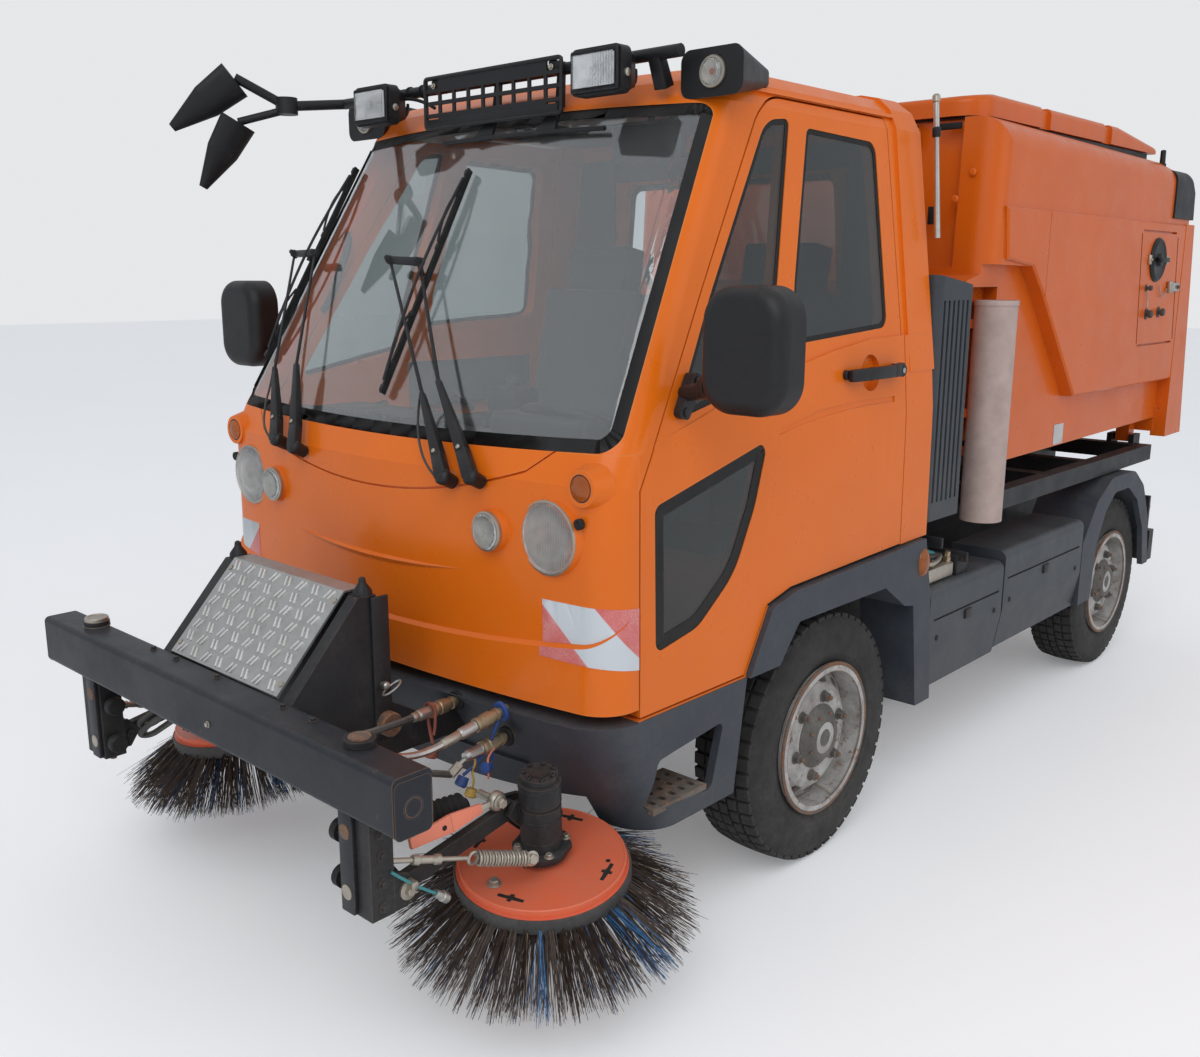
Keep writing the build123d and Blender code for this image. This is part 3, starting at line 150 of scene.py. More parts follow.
def plug(tree, socket, value):
    if isinstance(value, bpy.types.NodeSocket):
        tree.links.new(value, socket)
    elif hasattr(value, "__len__") and len(value) == 3:
        socket.default_value = (*value, 1)
    else:
        socket.default_value = value


def newGroup(name, inputs, outputs):
    group = bpy.data.node_groups.new(name, "ShaderNodeTree")
    for label, kind, value in inputs:
        socket = group.interface.new_socket(name=label, in_out="INPUT", socket_type="NodeSocket" + kind)
        socket.default_value = (*value, 1) if kind == "Color" else value
    for label, kind in outputs:
        group.interface.new_socket(name=label, in_out="OUTPUT", socket_type="NodeSocket" + kind)
    return group, group.nodes.new("NodeGroupInput").outputs, group.nodes.new("NodeGroupOutput").inputs


def objectPlace(tree):
    return addNode(tree, "ShaderNodeTexCoord").outputs["Object"]


# road dust and dried splashes: thicker low down and on faces that look up
def dustGroup():
    tree, given, result = newGroup("roadDust", [("Color", "Color", (0.5, 0.5, 0.5)),
                                               ("Dust Color", "Color", (0.33, 0.30, 0.26)),
                                               ("Amount", "Float", 0.4), ("Low", "Float", 0.2),
                                               ("High", "Float", 1.4), ("Top", "Float", 0.5)],
                                   [("Color", "Color"), ("Mask", "Float")])
    place = objectPlace(tree)
    height = addNode(tree, "ShaderNodeSeparateXYZ", {"Vector": place}).outputs["Z"]
    up = addNode(tree, "ShaderNodeSeparateXYZ",
                 {"Vector": addNode(tree, "ShaderNodeNewGeometry").outputs["Normal"]}).outputs["Z"]
    lowPart = addNode(tree, "ShaderNodeMapRange", {"Value": height, "From Min": given["Low"],
                                                   "From Max": given["High"], "To Min": 1.0, "To Max": 0.12})
    cloud = stretch(tree, noiseAt(tree, place, 5.5, 5.0, 0.62), 0.34, 0.66)
    fine = stretch(tree, noiseAt(tree, place, 70.0, 3.0, 0.6), 0.3, 0.75, 0.45, 1.0)
    lying = doMath(tree, "MULTIPLY", stretch(tree, up, 0.35, 0.95), given["Top"])
    amount = doMath(tree, "MULTIPLY", lowPart.outputs["Result"], given["Amount"])
    amount = doMath(tree, "MULTIPLY", amount, stretch(tree, cloud, 0.0, 1.0, 0.35, 1.25))
    amount = doMath(tree, "ADD", amount, doMath(tree, "MULTIPLY", lying, stretch(tree, cloud, 0.0, 1.0,
            0.45, 1.0)))
    mask = doMath(tree, "MULTIPLY", amount, fine, True)
    tree.links.new(mask, result["Mask"])
    tree.links.new(blendColour(tree, mask, given["Color"], given["Dust Color"]), result["Color"])
    return tree


# bare or worn edges, broken up by noise
def wearGroup():
    tree, given, result = newGroup("edgeWear", [("Radius", "Float", 0.004), ("Amount", "Float", 1.0),
                                               ("Scale", "Float", 30.0)], [("Mask", "Float")])
    place = objectPlace(tree)
    rounded = addNode(tree, "ShaderNodeBevel", {"Radius": given["Radius"]}, samples=4).outputs["Normal"]
    flat = addNode(tree, "ShaderNodeNewGeometry").outputs["Normal"]
    agree = addNode(tree, "ShaderNodeVectorMath", {0: rounded, 1: flat},
                    operation="DOT_PRODUCT").outputs["Value"]
    edge = stretch(tree, agree, 0.97, 0.72)
    broken = noiseAt(tree, place, given["Scale"], 5.0, 0.7)
    high = doMath(tree, "MULTIPLY", edge, given["Amount"])
    mask = stretch(tree, doMath(tree, "ADD", doMath(tree, "MULTIPLY", high, 0.6), broken), 0.78, 0.92)
    mask = doMath(tree, "MULTIPLY", mask, stretch(tree, edge, 0.0, 0.15), True)
    tree.links.new(mask, result["Mask"])
    return tree


# the fine texture of moulded plastic and cast iron
def grainGroup():
    tree, given, result = newGroup("mouldGrain", [("Scale", "Float", 600.0), ("Coarse", "Float", 25.0)],
                                   [("Height", "Float"), ("Mottle", "Float")])
    place = objectPlace(tree)
    fine = noiseAt(tree, place, given["Scale"], 2.0, 0.6)
    coarse = noiseAt(tree, place, given["Coarse"], 4.0, 0.6)
    tree.links.new(fine, result["Height"])
    tree.links.new(coarse, result["Mottle"])
    return tree


# rust and scale in patches, with a grainy height
def rustGroup():
    tree, given, result = newGroup("rustPatches", [("Scale", "Float", 14.0), ("Amount", "Float", 0.5),
                                                  ("Dark", "Color", (0.07, 0.035, 0.02)),
                                                  ("Light", "Color", (0.30, 0.12, 0.045))],
                                   [("Mask", "Float"), ("Color", "Color"), ("Height", "Float")])
    place = objectPlace(tree)
    broad = noiseAt(tree, place, given["Scale"], 6.0, 0.68)
    limit = doMath(tree, "SUBTRACT", 1.0, given["Amount"])
    mask = doMath(tree, "MULTIPLY", doMath(tree, "SUBTRACT", broad, stretch(tree, limit, 0.0, 1.0, 0.3,
            0.75)), 9.0, True)
    fine = noiseAt(tree, place, 160.0, 4.0, 0.7)
    tree.links.new(mask, result["Mask"])
    tree.links.new(blendColour(tree, stretch(tree, fine, 0.35, 0.65), given["Dark"], given["Light"]),
                   result["Color"])
    tree.links.new(fine, result["Height"])
    return tree


# rain marks that run down upright faces
def streakGroup():
    tree, given, result = newGroup("rainStreaks", [("Scale", "Float", 26.0), ("Amount", "Float", 0.5)],
                                   [("Mask", "Float")])
    mapped = addNode(tree, "ShaderNodeMapping", {"Vector": objectPlace(tree), "Scale": (1.0, 1.0, 0.07)})
    lines = noiseAt(tree, mapped.outputs["Vector"], given["Scale"], 4.0, 0.6)
    patches = noiseAt(tree, objectPlace(tree), 2.4, 3.0, 0.6)
    mask = doMath(tree, "MULTIPLY", stretch(tree, lines, 0.52, 0.78), stretch(tree, patches, 0.4, 0.7))
    tree.links.new(doMath(tree, "MULTIPLY", mask, given["Amount"], True), result["Mask"])
    return tree


groups = {}


def useGroup(tree, name, **values):
    makers = {"roadDust": dustGroup, "edgeWear": wearGroup, "mouldGrain": grainGroup,
              "rustPatches": rustGroup, "rainStreaks": streakGroup}
    if name not in groups:
        groups[name] = makers[name]()
    node = tree.nodes.new("ShaderNodeGroup")
    node.node_tree = groups[name]
    for key, value in values.items():
        plug(tree, node.inputs[key.replace("_", " ")], value)
    return node.outputs


def newFinish(name, metallic=0.0, roughness=0.5, **sockets):
    material = bpy.data.materials.new(name)
    material.use_nodes = True
    tree = material.node_tree
    shader = tree.nodes["Principled BSDF"]
    shader.inputs["Metallic"].default_value = metallic
    shader.inputs["Roughness"].default_value = roughness
    for key, value in sockets.items():
        shader.inputs[key.replace("_", " ")].default_value = value
    return material, tree, shader.inputs


def addBump(tree, sockets, height, strength, distance=0.002):
    bump = addNode(tree, "ShaderNodeBump", {"Height": height, "Strength": strength, "Distance": distance})
    tree.links.new(bump.outputs["Normal"], sockets["Normal"])


finishes = {}


# one finish per name, made the first time it is asked for
def finish(name):
    if name not in finishes:
        maker, *values = finishMakers[name]
        named = values.pop() if values and isinstance(values[-1], dict) else {}
        finishes[name] = maker(name, *values, **named)
    return finishes[name]


def paintedFinish(name, colour, edgeColour, dust, low, high, top, roughness=0.34, coat=0.22, rust=0.12,
                  wear=0.7):
    material, tree, sockets = newFinish(name, 0.0, roughness, Coat_Weight=coat, Coat_Roughness=0.08,
                                        Specular_IOR_Level=0.26)
    place = objectPlace(tree)
    mottle = noiseAt(tree, place, 2.6, 4.0, 0.6)
    paint = blendColour(tree, stretch(tree, mottle, 0.35, 0.7), colour, [min(1, c * 1.07) for c in colour])
    streaks = useGroup(tree, "rainStreaks", Scale=22.0, Amount=0.16)
    paint = blendColour(tree, streaks["Mask"], paint, [c * 0.66 for c in colour])
    worn = useGroup(tree, "edgeWear", Radius=0.004, Amount=wear, Scale=34.0)
    paint = blendColour(tree, worn["Mask"], paint, edgeColour)
    chips = useGroup(tree, "rustPatches", Scale=24.0, Amount=rust)
    paint = blendColour(tree, chips["Mask"], paint, chips["Color"])
    dusty = useGroup(tree, "roadDust", Color=paint, Amount=dust, Low=low, High=high, Top=top)
    tree.links.new(dusty["Color"], sockets["Base Color"])
    rough = doMath(tree, "ADD", stretch(tree, noiseAt(tree, place, 9.0, 4.0), 0.3, 0.7, roughness - 0.06,
                                        roughness + 0.1), doMath(tree, "MULTIPLY", dusty["Mask"], 0.45),
                   True)
    tree.links.new(rough, sockets["Roughness"])
    addBump(tree, sockets, noiseAt(tree, place, 260.0, 2.0), 0.05, 0.0006)
    return material


def plasticFinish(name, colour, dust=0.35, low=0.3, high=1.3, top=0.35, roughness=0.55, scale=700.0, wear=0.5,
                  edgeColour=(0.12, 0.125, 0.14), bump=0.14):
    material, tree, sockets = newFinish(name, 0.0, roughness, Specular_IOR_Level=0.36)
    grain = useGroup(tree, "mouldGrain", Scale=scale, Coarse=14.0)
    body = blendColour(tree, stretch(tree, grain["Mottle"], 0.3, 0.72), [c * 0.86 for c in colour],
                       [min(1, c * 1.16) for c in colour])
    worn = useGroup(tree, "edgeWear", Radius=0.005, Amount=wear, Scale=40.0)
    body = blendColour(tree, doMath(tree, "MULTIPLY", worn["Mask"], 0.7), body, edgeColour)
    streaks = useGroup(tree, "rainStreaks", Scale=30.0, Amount=0.3)
    body = blendColour(tree, streaks["Mask"], body, [min(1, c * 1.3 + 0.012) for c in colour])
    dusty = useGroup(tree, "roadDust", Color=body, Amount=dust, Low=low, High=high, Top=top)
    tree.links.new(dusty["Color"], sockets["Base Color"])
    rough = doMath(tree, "ADD", stretch(tree, grain["Mottle"], 0.3, 0.7, roughness - 0.07, roughness + 0.07),
                   doMath(tree, "MULTIPLY", dusty["Mask"], 0.3), True)
    tree.links.new(rough, sockets["Roughness"])
    addBump(tree, sockets, grain["Height"], bump, 0.0006)
    return material


def metalFinish(name, colour, roughness=0.35, rust=0.25, dust=0.25, metallic=1.0, scale=20.0, top=0.2):
    material, tree, sockets = newFinish(name, metallic, roughness)
    grain = useGroup(tree, "mouldGrain", Scale=300.0, Coarse=30.0)
    body = blendColour(tree, stretch(tree, grain["Mottle"], 0.3, 0.7), [c * 0.8 for c in colour], colour)
    patches = useGroup(tree, "rustPatches", Scale=scale, Amount=rust)
    body = blendColour(tree, patches["Mask"], body, patches["Color"])
    dusty = useGroup(tree, "roadDust", Color=body, Amount=dust, Low=0.2, High=1.6, Top=top)
    tree.links.new(dusty["Color"], sockets["Base Color"])
    cover = doMath(tree, "MAXIMUM", patches["Mask"], dusty["Mask"])
    tree.links.new(stretch(tree, cover, 0.0, 1.0, metallic, 0.0), sockets["Metallic"])
    tree.links.new(stretch(tree, cover, 0.0, 1.0, roughness, 0.85), sockets["Roughness"])
    addBump(tree, sockets, patches["Height"], 0.25, 0.0008)
    return material


# glass that direct light passes, so that what is behind it is lit
def passLight(tree, colour):
    clear = addNode(tree, "ShaderNodeBsdfTransparent", {"Color": (*colour, 1)})
    light = addNode(tree, "ShaderNodeLightPath").outputs["Is Shadow Ray"]
    mixed = addNode(tree, "ShaderNodeMixShader",
                    {0: light, 1: tree.nodes["Principled BSDF"].outputs["BSDF"], 2: clear.outputs["BSDF"]})
    tree.links.new(mixed.outputs["Shader"], tree.nodes["Material Output"].inputs["Surface"])


def glassFinish(name, colour, transmission, refraction=1.45, lit=True):
    material, tree, sockets = newFinish(name, 0.0, 0.0, Transmission_Weight=transmission, IOR=refraction)
    place = objectPlace(tree)
    haze = stretch(tree, noiseAt(tree, place, 3.5, 5.0, 0.65), 0.35, 0.75)
    tint = blendColour(tree, haze, colour, [min(1, c * 1.1 + 0.02) for c in colour])
    tree.links.new(tint, sockets["Base Color"])
    if lit:
        passLight(tree, colour)
    return material


def lampFinish(name, colour, transmission=0.92, flutes=0.0):
    material, tree, sockets = newFinish(name, 0.0, 0.06, Transmission_Weight=transmission, IOR=1.45)
    place = objectPlace(tree)
    grime = stretch(tree, noiseAt(tree, place, 40.0, 4.0), 0.4, 0.75)
    tree.links.new(blendColour(tree, grime, colour, [c * 0.8 for c in colour]), sockets["Base Color"])
    tree.links.new(stretch(tree, grime, 0.0, 1.0, 0.05, 0.16), sockets["Roughness"])
    if flutes:
        waves = addNode(tree, "ShaderNodeTexWave", {"Vector": place, "Scale": flutes, "Distortion": 0.0},
                        wave_type="BANDS", bands_direction="X").outputs["Fac"]
        addBump(tree, sockets, waves, 0.35, 0.0012)
    passLight(tree, colour)
    return material


def rubberFinish(name):
    material, tree, sockets = newFinish(name, 0.0, 0.82)
    place = objectPlace(tree)
    mottle = noiseAt(tree, place, 22.0, 5.0, 0.65)
    body = blendColour(tree, stretch(tree, mottle, 0.3, 0.7), (0.009, 0.009, 0.0095), (0.022, 0.021, 0.020))
    dusty = useGroup(tree, "roadDust", Color=body, Amount=0.22, Low=0.1, High=1.0, Top=0.12,
                     Dust_Color=(0.22, 0.20, 0.18))
    tree.links.new(dusty["Color"], sockets["Base Color"])
    addBump(tree, sockets, noiseAt(tree, place, 320.0, 3.0), 0.3, 0.0012)
    return material


def wheelFinish(name):
    material, tree, sockets = newFinish(name, 0.0, 0.5)
    place = objectPlace(tree)
    grime = stretch(tree, noiseAt(tree, place, 16.0, 5.0, 0.66), 0.36, 0.74)
    paint = blendColour(tree, grime, (0.50, 0.49, 0.47), (0.22, 0.20, 0.18))
    worn = useGroup(tree, "edgeWear", Radius=0.006, Amount=1.0, Scale=45.0)
    rust = useGroup(tree, "rustPatches", Scale=30.0, Amount=0.40)
    stain = doMath(tree, "MAXIMUM", rust["Mask"], worn["Mask"])
    paint = blendColour(tree, stain, paint, rust["Color"])
    tree.links.new(paint, sockets["Base Color"])
    tree.links.new(stretch(tree, stain, 0.0, 1.0, 0.5, 0.85), sockets["Roughness"])
    addBump(tree, sockets, noiseAt(tree, place, 180.0, 4.0), 0.25, 0.001)
    return material


# woven seat cloth: two crossed wave patterns and a mottled thread colour
def clothFinish(name):
    material, tree, sockets = newFinish(name, 0.0, 0.9, Sheen_Weight=0.25)
    place = objectPlace(tree)
    warp = addNode(tree, "ShaderNodeTexWave", {"Vector": place, "Scale": 110.0, "Distortion": 0.6},
                   bands_direction="X").outputs["Fac"]
    weft = addNode(tree, "ShaderNodeTexWave", {"Vector": place, "Scale": 110.0, "Distortion": 0.6},
                   bands_direction="DIAGONAL").outputs["Fac"]
    thread = doMath(tree, "MULTIPLY", warp, weft)
    mottle = noiseAt(tree, place, 260.0, 3.0)
    colour = blendColour(tree, thread, (0.045, 0.047, 0.052), (0.13, 0.135, 0.15))
    colour = blendColour(tree, stretch(tree, mottle, 0.4, 0.7, 0.0, 0.5), colour, (0.17, 0.17, 0.18))
    tree.links.new(colour, sockets["Base Color"])
    addBump(tree, sockets, thread, 0.15, 0.0006)
    return material


def bristleFinish(name, colour, tip):
    material, tree, sockets = newFinish(name, 0.0, 0.6)
    place = objectPlace(tree)
    mottle = stretch(tree, noiseAt(tree, place, 60.0, 3.0), 0.35, 0.7)
    tree.links.new(blendColour(tree, mottle, colour, tip), sockets["Base Color"])
    addBump(tree, sockets, noiseAt(tree, place, 400.0, 2.0), 0.2, 0.0005)
    return material


# faded warning stripes at the front corners: a white band between pinkish red triangles
def stripeFinish(name):
    material, tree, sockets = newFinish(name, 0.0, 0.4)
    place = objectPlace(tree)
    parts = addNode(tree, "ShaderNodeSeparateXYZ", {"Vector": place}).outputs
    side = doMath(tree, "ABSOLUTE", parts["X"])
    run = doMath(tree, "ADD", side, parts["Y"])
    across = stretch(tree, run, stripes["start"], stripes["end"])
    across = doMath(tree, "SUBTRACT", across, stretch(tree, parts["Z"], stripes["top"], stripes["low"], 0.0,
                                                      stripes["lean"]))
    band = doMath(tree, "MULTIPLY", stretch(tree, across, -0.012, 0.0),
                  stretch(tree, across, stripes["band"], stripes["band"] + 0.012, 1.0, 0.0))
    speckle = stretch(tree, addNode(tree, "ShaderNodeTexVoronoi",
                                    {"Vector": place, "Scale": 420.0}).outputs["Distance"], 0.25, 0.55)
    fade = stretch(tree, noiseAt(tree, place, 12.0, 4.0), 0.35, 0.7, 0.25, 0.9)
    red = blendColour(tree, doMath(tree, "MULTIPLY", speckle, fade), (0.62, 0.07, 0.07), (0.75, 0.36, 0.34))
    colour = blendColour(tree, band, red, (0.62, 0.66, 0.70))
    dusty = useGroup(tree, "roadDust", Color=colour, Amount=0.18, Low=0.5, High=1.2, Top=0.0)
    tree.links.new(dusty["Color"], sockets["Base Color"])
    addBump(tree, sockets, speckle, 0.08, 0.0004)
    return material


def floorPaint():
    material, tree, sockets = newFinish("paleFloor", 0.0, 0.85)
    soft = noiseAt(tree, objectPlace(tree), 0.7, 3.0)
    tree.links.new(blendColour(tree, soft, studio["floor"], [c * 1.06 for c in studio["floor"]]),
                   sockets["Base Color"])
    sockets["Emission Color"].default_value = (*studio["behind"], 1)
    seen = addNode(tree, "ShaderNodeLightPath").outputs["Is Camera Ray"]
    tree.links.new(doMath(tree, "MULTIPLY", seen, studio["floorGlow"]), sockets["Emission Strength"])
    return material


def treadFinish(name):
    material, tree, sockets = newFinish(name, 0.85, 0.30)
    place = objectPlace(tree)
    marks = stretch(tree, noiseAt(tree, place, 9.0, 5.0, 0.6), 0.42, 0.74)
    colour = blendColour(tree, marks, (0.90, 0.895, 0.875), (0.66, 0.64, 0.60))
    tree.links.new(colour, sockets["Base Color"])
    tree.links.new(stretch(tree, marks, 0.0, 1.0, 0.24, 0.46), sockets["Roughness"])
    tree.links.new(stretch(tree, marks, 0.2, 1.0, 0.82, 0.60), sockets["Metallic"])
    addBump(tree, sockets, noiseAt(tree, place, 240.0, 2.0), 0.03, 0.0004)
    return material


orange = (0.76, 0.150, 0.004)
finishMakers = {
    "orangePaint": (paintedFinish, orange, (0.66, 0.27, 0.08), 0.03, 0.4, 1.6, 0.05, 0.30, 0.16),
    # hopper orange is a darker copy of the cab orange: painted shade for the hopper, with the same dust, wear
    # and rust as the cab
    "hopperShadedPaint": (paintedFinish, (0.64, 0.112, 0.004), (0.5, 0.22, 0.08), 0.02, 0.9, 2.3, 0.08, 0.30,
                    0.16),
    "frameBlack": (paintedFinish, (0.011, 0.012, 0.015), (0.10, 0.07, 0.055), 0.12, 0.3, 1.2, 0.10, 0.48,
                   0.08, 0.22, 1.2),
    "beamBlack": (paintedFinish, (0.0105, 0.0135, 0.020), (0.16, 0.10, 0.07), 0.07, 0.3, 1.0, 0.10, 0.42,
                  0.10, 0.22, 1.4),
    "greyPlastic": (plasticFinish, (0.034, 0.043, 0.058), 0.14, 0.3, 1.2, 0.16, 0.5),
    "boxPlastic": (plasticFinish, (0.040, 0.050, 0.062), 0.14, 0.3, 1.2, 0.16, 0.46),
    "blackPlastic": (plasticFinish, (0.009, 0.009, 0.0105), 0.07, 0.3, 2.0, 0.09, 0.46,
                     {"edgeColour": (0.09, 0.09, 0.1)}),
    "sealRubber": (plasticFinish, (0.006, 0.006, 0.0065), 0.06, 0.3, 1.6, 0.06, 0.6, 500.0,
                   {"edgeColour": (0.05, 0.05, 0.05)}),
    "pipePlastic": (plasticFinish, (0.46, 0.345, 0.31), 0.16, 0.8, 1.7, 0.2, 0.42, 300.0,
                    {"edgeColour": (0.5, 0.4, 0.36), "bump": 0.06}),
    "airBoxPlastic": (plasticFinish, (0.038, 0.046, 0.056), 0.14, 0.7, 1.8, 0.14, 0.5),
    "glassClear": (glassFinish, (0.90, 0.955, 0.95), 0.97, 1.9),
    "glassDark": (glassFinish, (0.30, 0.345, 0.335), 0.96, 1.45, False),
    "lampGlass": (lampFinish, (0.95, 0.96, 0.97)),
    "flutedGlass": (lampFinish, (0.95, 0.96, 0.97), 0.92, 60.0),
    "amberGlass": (lampFinish, (0.72, 0.20, 0.03), 0.6),
    "redGlass": (lampFinish, (0.55, 0.02, 0.02), 0.5),
    "clearLens": (lampFinish, (0.95, 0.97, 0.98), 0.95),
    "tyreRubber": (rubberFinish,),
    "wheelPaint": (wheelFinish,),
    "hubIron": (metalFinish, (0.075, 0.07, 0.066), 0.5, 0.3, 0.45, 0.4),
    "axleIron": (metalFinish, (0.06, 0.058, 0.055), 0.6, 0.42, 0.5, 0.4),
    "steel": (metalFinish, (0.56, 0.55, 0.52), 0.3, 0.12, 0.2),
    "zinc": (metalFinish, (0.55, 0.50, 0.42), 0.38, 0.25, 0.25, {"scale": 60.0}),
    "brass": (metalFinish, (0.48, 0.38, 0.24), 0.38, 0.3, 0.3, {"scale": 70.0}),
    "rustySteel": (metalFinish, (0.16, 0.12, 0.10), 0.6, 0.75, 0.25, 0.5, 30.0),
    "stepSteel": (metalFinish, (0.13, 0.11, 0.095), 0.6, 0.62, 0.4, 0.5, 24.0, 0.5),
    "brushPaint": (paintedFinish, (0.80, 0.135, 0.050), (0.72, 0.32, 0.22), 0.18, 0.2, 0.8, 0.14, 0.36, 0.2,
                   0.10, 0.6),
    "leverPaint": (paintedFinish, (0.84, 0.24, 0.145), (0.55, 0.4, 0.33), 0.16, 0.2, 0.8, 0.14, 0.4, 0.1,
                   0.14, 0.9),
    "ringPlastic": (plasticFinish, (0.030, 0.031, 0.033), 0.25, 0.2, 0.7, 0.2, 0.6),
    "treadAluminium": (treadFinish,),
    # tread plate base is a darker, duller copy of the tread aluminium: painted shade between the raised bars
    "treadShadedBase": (metalFinish, (0.50, 0.495, 0.48), 0.34, 0.0, 0.08, 0.75),
    "seatCloth": (clothFinish,),
    "warningStripes": (stripeFinish,),
    "hoseRubber": (plasticFinish, (0.020, 0.020, 0.021), 0.35, 0.2, 1.0, 0.45, 0.5, 400.0,
                   {"edgeColour": (0.1, 0.09, 0.08)}),
    "liningPlastic": (plasticFinish, (0.10, 0.105, 0.11), 0.05, 0.3, 1.2, 0.05, 0.7,
                      {"edgeColour": (0.13, 0.13, 0.14)}),
    "mirrorGlass": (metalFinish, (0.75, 0.77, 0.78), 0.05, 0.0, 0.08),
    "reflector": (metalFinish, (0.97, 0.97, 0.96), 0.14, 0.0, 0.0, 0.55),
    "blueCap": (plasticFinish, (0.015, 0.06, 0.25), 0.2, 0.2, 0.9, 0.2, 0.5, 300.0,
                {"edgeColour": (0.05, 0.14, 0.35)}),
    "redStrap": (plasticFinish, (0.26, 0.07, 0.045), 0.2, 0.2, 0.9, 0.2, 0.6, 300.0,
                 {"edgeColour": (0.3, 0.13, 0.1)}),
    "yellowStrap": (plasticFinish, (0.52, 0.33, 0.06), 0.25, 0.2, 0.9, 0.2, 0.6, 300.0,
                    {"edgeColour": (0.6, 0.45, 0.2)}),
    "tealCable": (plasticFinish, (0.03, 0.26, 0.28), 0.2, 0.2, 0.9, 0.2, 0.5, 300.0,
                  {"edgeColour": (0.1, 0.35, 0.35)}),
    "whitePlate": (plasticFinish, (0.55, 0.55, 0.54), 0.2, 0.3, 2.5, 0.1, 0.4, 300.0,
                   {"edgeColour": (0.5, 0.5, 0.5), "bump": 0.08}),
    "darkBristle": (bristleFinish, (0.030, 0.0185, 0.0135), (0.085, 0.053, 0.037)),
    "blueBristle": (bristleFinish, (0.02, 0.11, 0.30), (0.06, 0.24, 0.46)),
    "strawBristle": (bristleFinish, (0.32, 0.24, 0.15), (0.5, 0.4, 0.27)),
}

# finish of each CAD node, by its slot first and then by name
slotFinish = {"orange_paint": "orangePaint", "frame_black": "frameBlack", "grey_plastic": "greyPlastic",
              "black_plastic": "blackPlastic", "glass_clear": "glassClear", "glass_dark": "glassDark",
              "lamp_glass": "lampGlass", "tyre_rubber": "tyreRubber", "wheel_paint": "wheelPaint",
              "axle_iron": "axleIron", "tread_aluminium": "treadAluminium", "brush_paint": "brushPaint",
              "bristle": "darkBristle", "seat_cloth": "seatCloth", "pipe_plastic": "pipePlastic",
              "step_steel": "stepSteel"}
# hopper_body, hopper_lid and hopper_door take the darker hopper orange, which is painted shade
nodeFinish = {"hopper_body": "hopperShadedPaint", "hopper_lid": "hopperShadedPaint", "hopper_door": "hopperShadedPaint",
              # tread_plate takes the darker tread base, which is painted shade between the bars
              "front_beam": "beamBlack", "tread_plate": "treadShadedBase", "air_box": "airBoxPlastic",
              "side_boxes": "boxPlastic", "brush_disc_left": "brushPaint", "brush_disc_right": "brushPaint"}


def dressNodes():
    slots = {row["node"]: row["material_slot"] for row in frame["record"]["subparts"]}
    for name, node in nodes.items():
        wanted = nodeFinish.get(name, slotFinish[slots[name]])
        if not node.material_slots:
            node.data.materials.append(finish(wanted))
        for place in node.material_slots:
            place.material = finish(wanted)


# modelling helpers: everything is deselected first, faces and edges are then picked in code
def clearPick():
    if bpy.context.object and bpy.context.object.mode != "OBJECT":
        bpy.ops.object.mode_set(mode="OBJECT")
    bpy.ops.object.select_all(action="DESELECT")


def openMesh(piece, everything=False):
    clearPick()
    bpy.context.view_layer.objects.active = piece
    piece.select_set(True)
    bpy.ops.object.mode_set(mode="EDIT")
    bpy.ops.mesh.select_all(action="SELECT" if everything else "DESELECT")


def closeMesh():
    bpy.ops.object.mode_set(mode="OBJECT")


def pickFaces(piece, test):
    bpy.ops.mesh.select_mode(type="FACE")
    bpy.ops.mesh.select_all(action="DESELECT")
    mesh = bmesh.from_edit_mesh(piece.data)
    picked = [face for face in mesh.faces if test(face.calc_center_median(), face.normal)]
    for face in picked:
        face.select_set(True)
    mesh.select_flush_mode()
    bmesh.update_edit_mesh(piece.data)


def pickEdges(piece, test):
    bpy.ops.mesh.select_mode(type="EDGE")
    bpy.ops.mesh.select_all(action="DESELECT")
    mesh = bmesh.from_edit_mesh(piece.data)
    picked = [edge for edge in mesh.edges if test(edge.verts[0].co, edge.verts[1].co)]
    for edge in picked:
        edge.select_set(True)
    bmesh.update_edit_mesh(piece.data)


def addModifier(piece, kind, **settings):
    modifier = piece.modifiers.new(kind.lower(), kind)
    for key, value in settings.items():
        setattr(modifier, key, value)
    return modifier


def applyAll(piece):
    clearPick()
    bpy.context.view_layer.objects.active = piece
    piece.select_set(True)
    for modifier in list(piece.modifiers):
        bpy.ops.object.modifier_apply(modifier=modifier.name)
    bpy.ops.object.transform_apply(location=True, rotation=True, scale=True)


def roundEdges(piece, width, segments=2):
    if width:
        addModifier(piece, "BEVEL", width=width, segments=segments, limit_method="ANGLE", angle_limit=0.6)
        applyAll(piece)


# moved to a place, with what was upright now along the axis
def standOn(piece, place, axis):
    piece.matrix_world = Matrix.Translation(place) @ Vector(axis).to_track_quat("Z", "Y").to_matrix().to_4x4()
    applyAll(piece)


def joinPieces(pieces):
    for piece in pieces:
        if piece.modifiers:
            applyAll(piece)
    clearPick()
    for piece in pieces:
        piece.select_set(True)
    bpy.context.view_layer.objects.active = pieces[0]
    bpy.ops.object.join()
    return pieces[0]


def paint(piece, name):
    piece.data.materials.clear()
    piece.data.materials.append(finish(name))
    return piece


# place in the mesh, rounded shading and the body it rides on
def settle(piece, name, body, smooth=35):
    applyAll(piece)
    bpy.ops.object.shade_smooth_by_angle(angle=math.radians(smooth))
    piece.name = name
    piece.data.name = name
    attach(piece, body)
    return piece


# a box with rounded edges and an inset on its upper face
def boxForm(size, place, bevel=0.003, inset=0.0, sink=0.0, finishName="blackPlastic", segments=2):
    clearPick()
    bpy.ops.mesh.primitive_cube_add(size=1, location=place)
    piece = bpy.context.object
    piece.scale = size
    bpy.ops.object.transform_apply(location=False, rotation=False, scale=True)
    if inset:
        openMesh(piece)
        pickFaces(piece, lambda c, n: n.z > 0.9)
        bpy.ops.mesh.inset(thickness=inset, depth=-sink)
        closeMesh()
    roundEdges(piece, bevel, segments)
    return paint(piece, finishName)


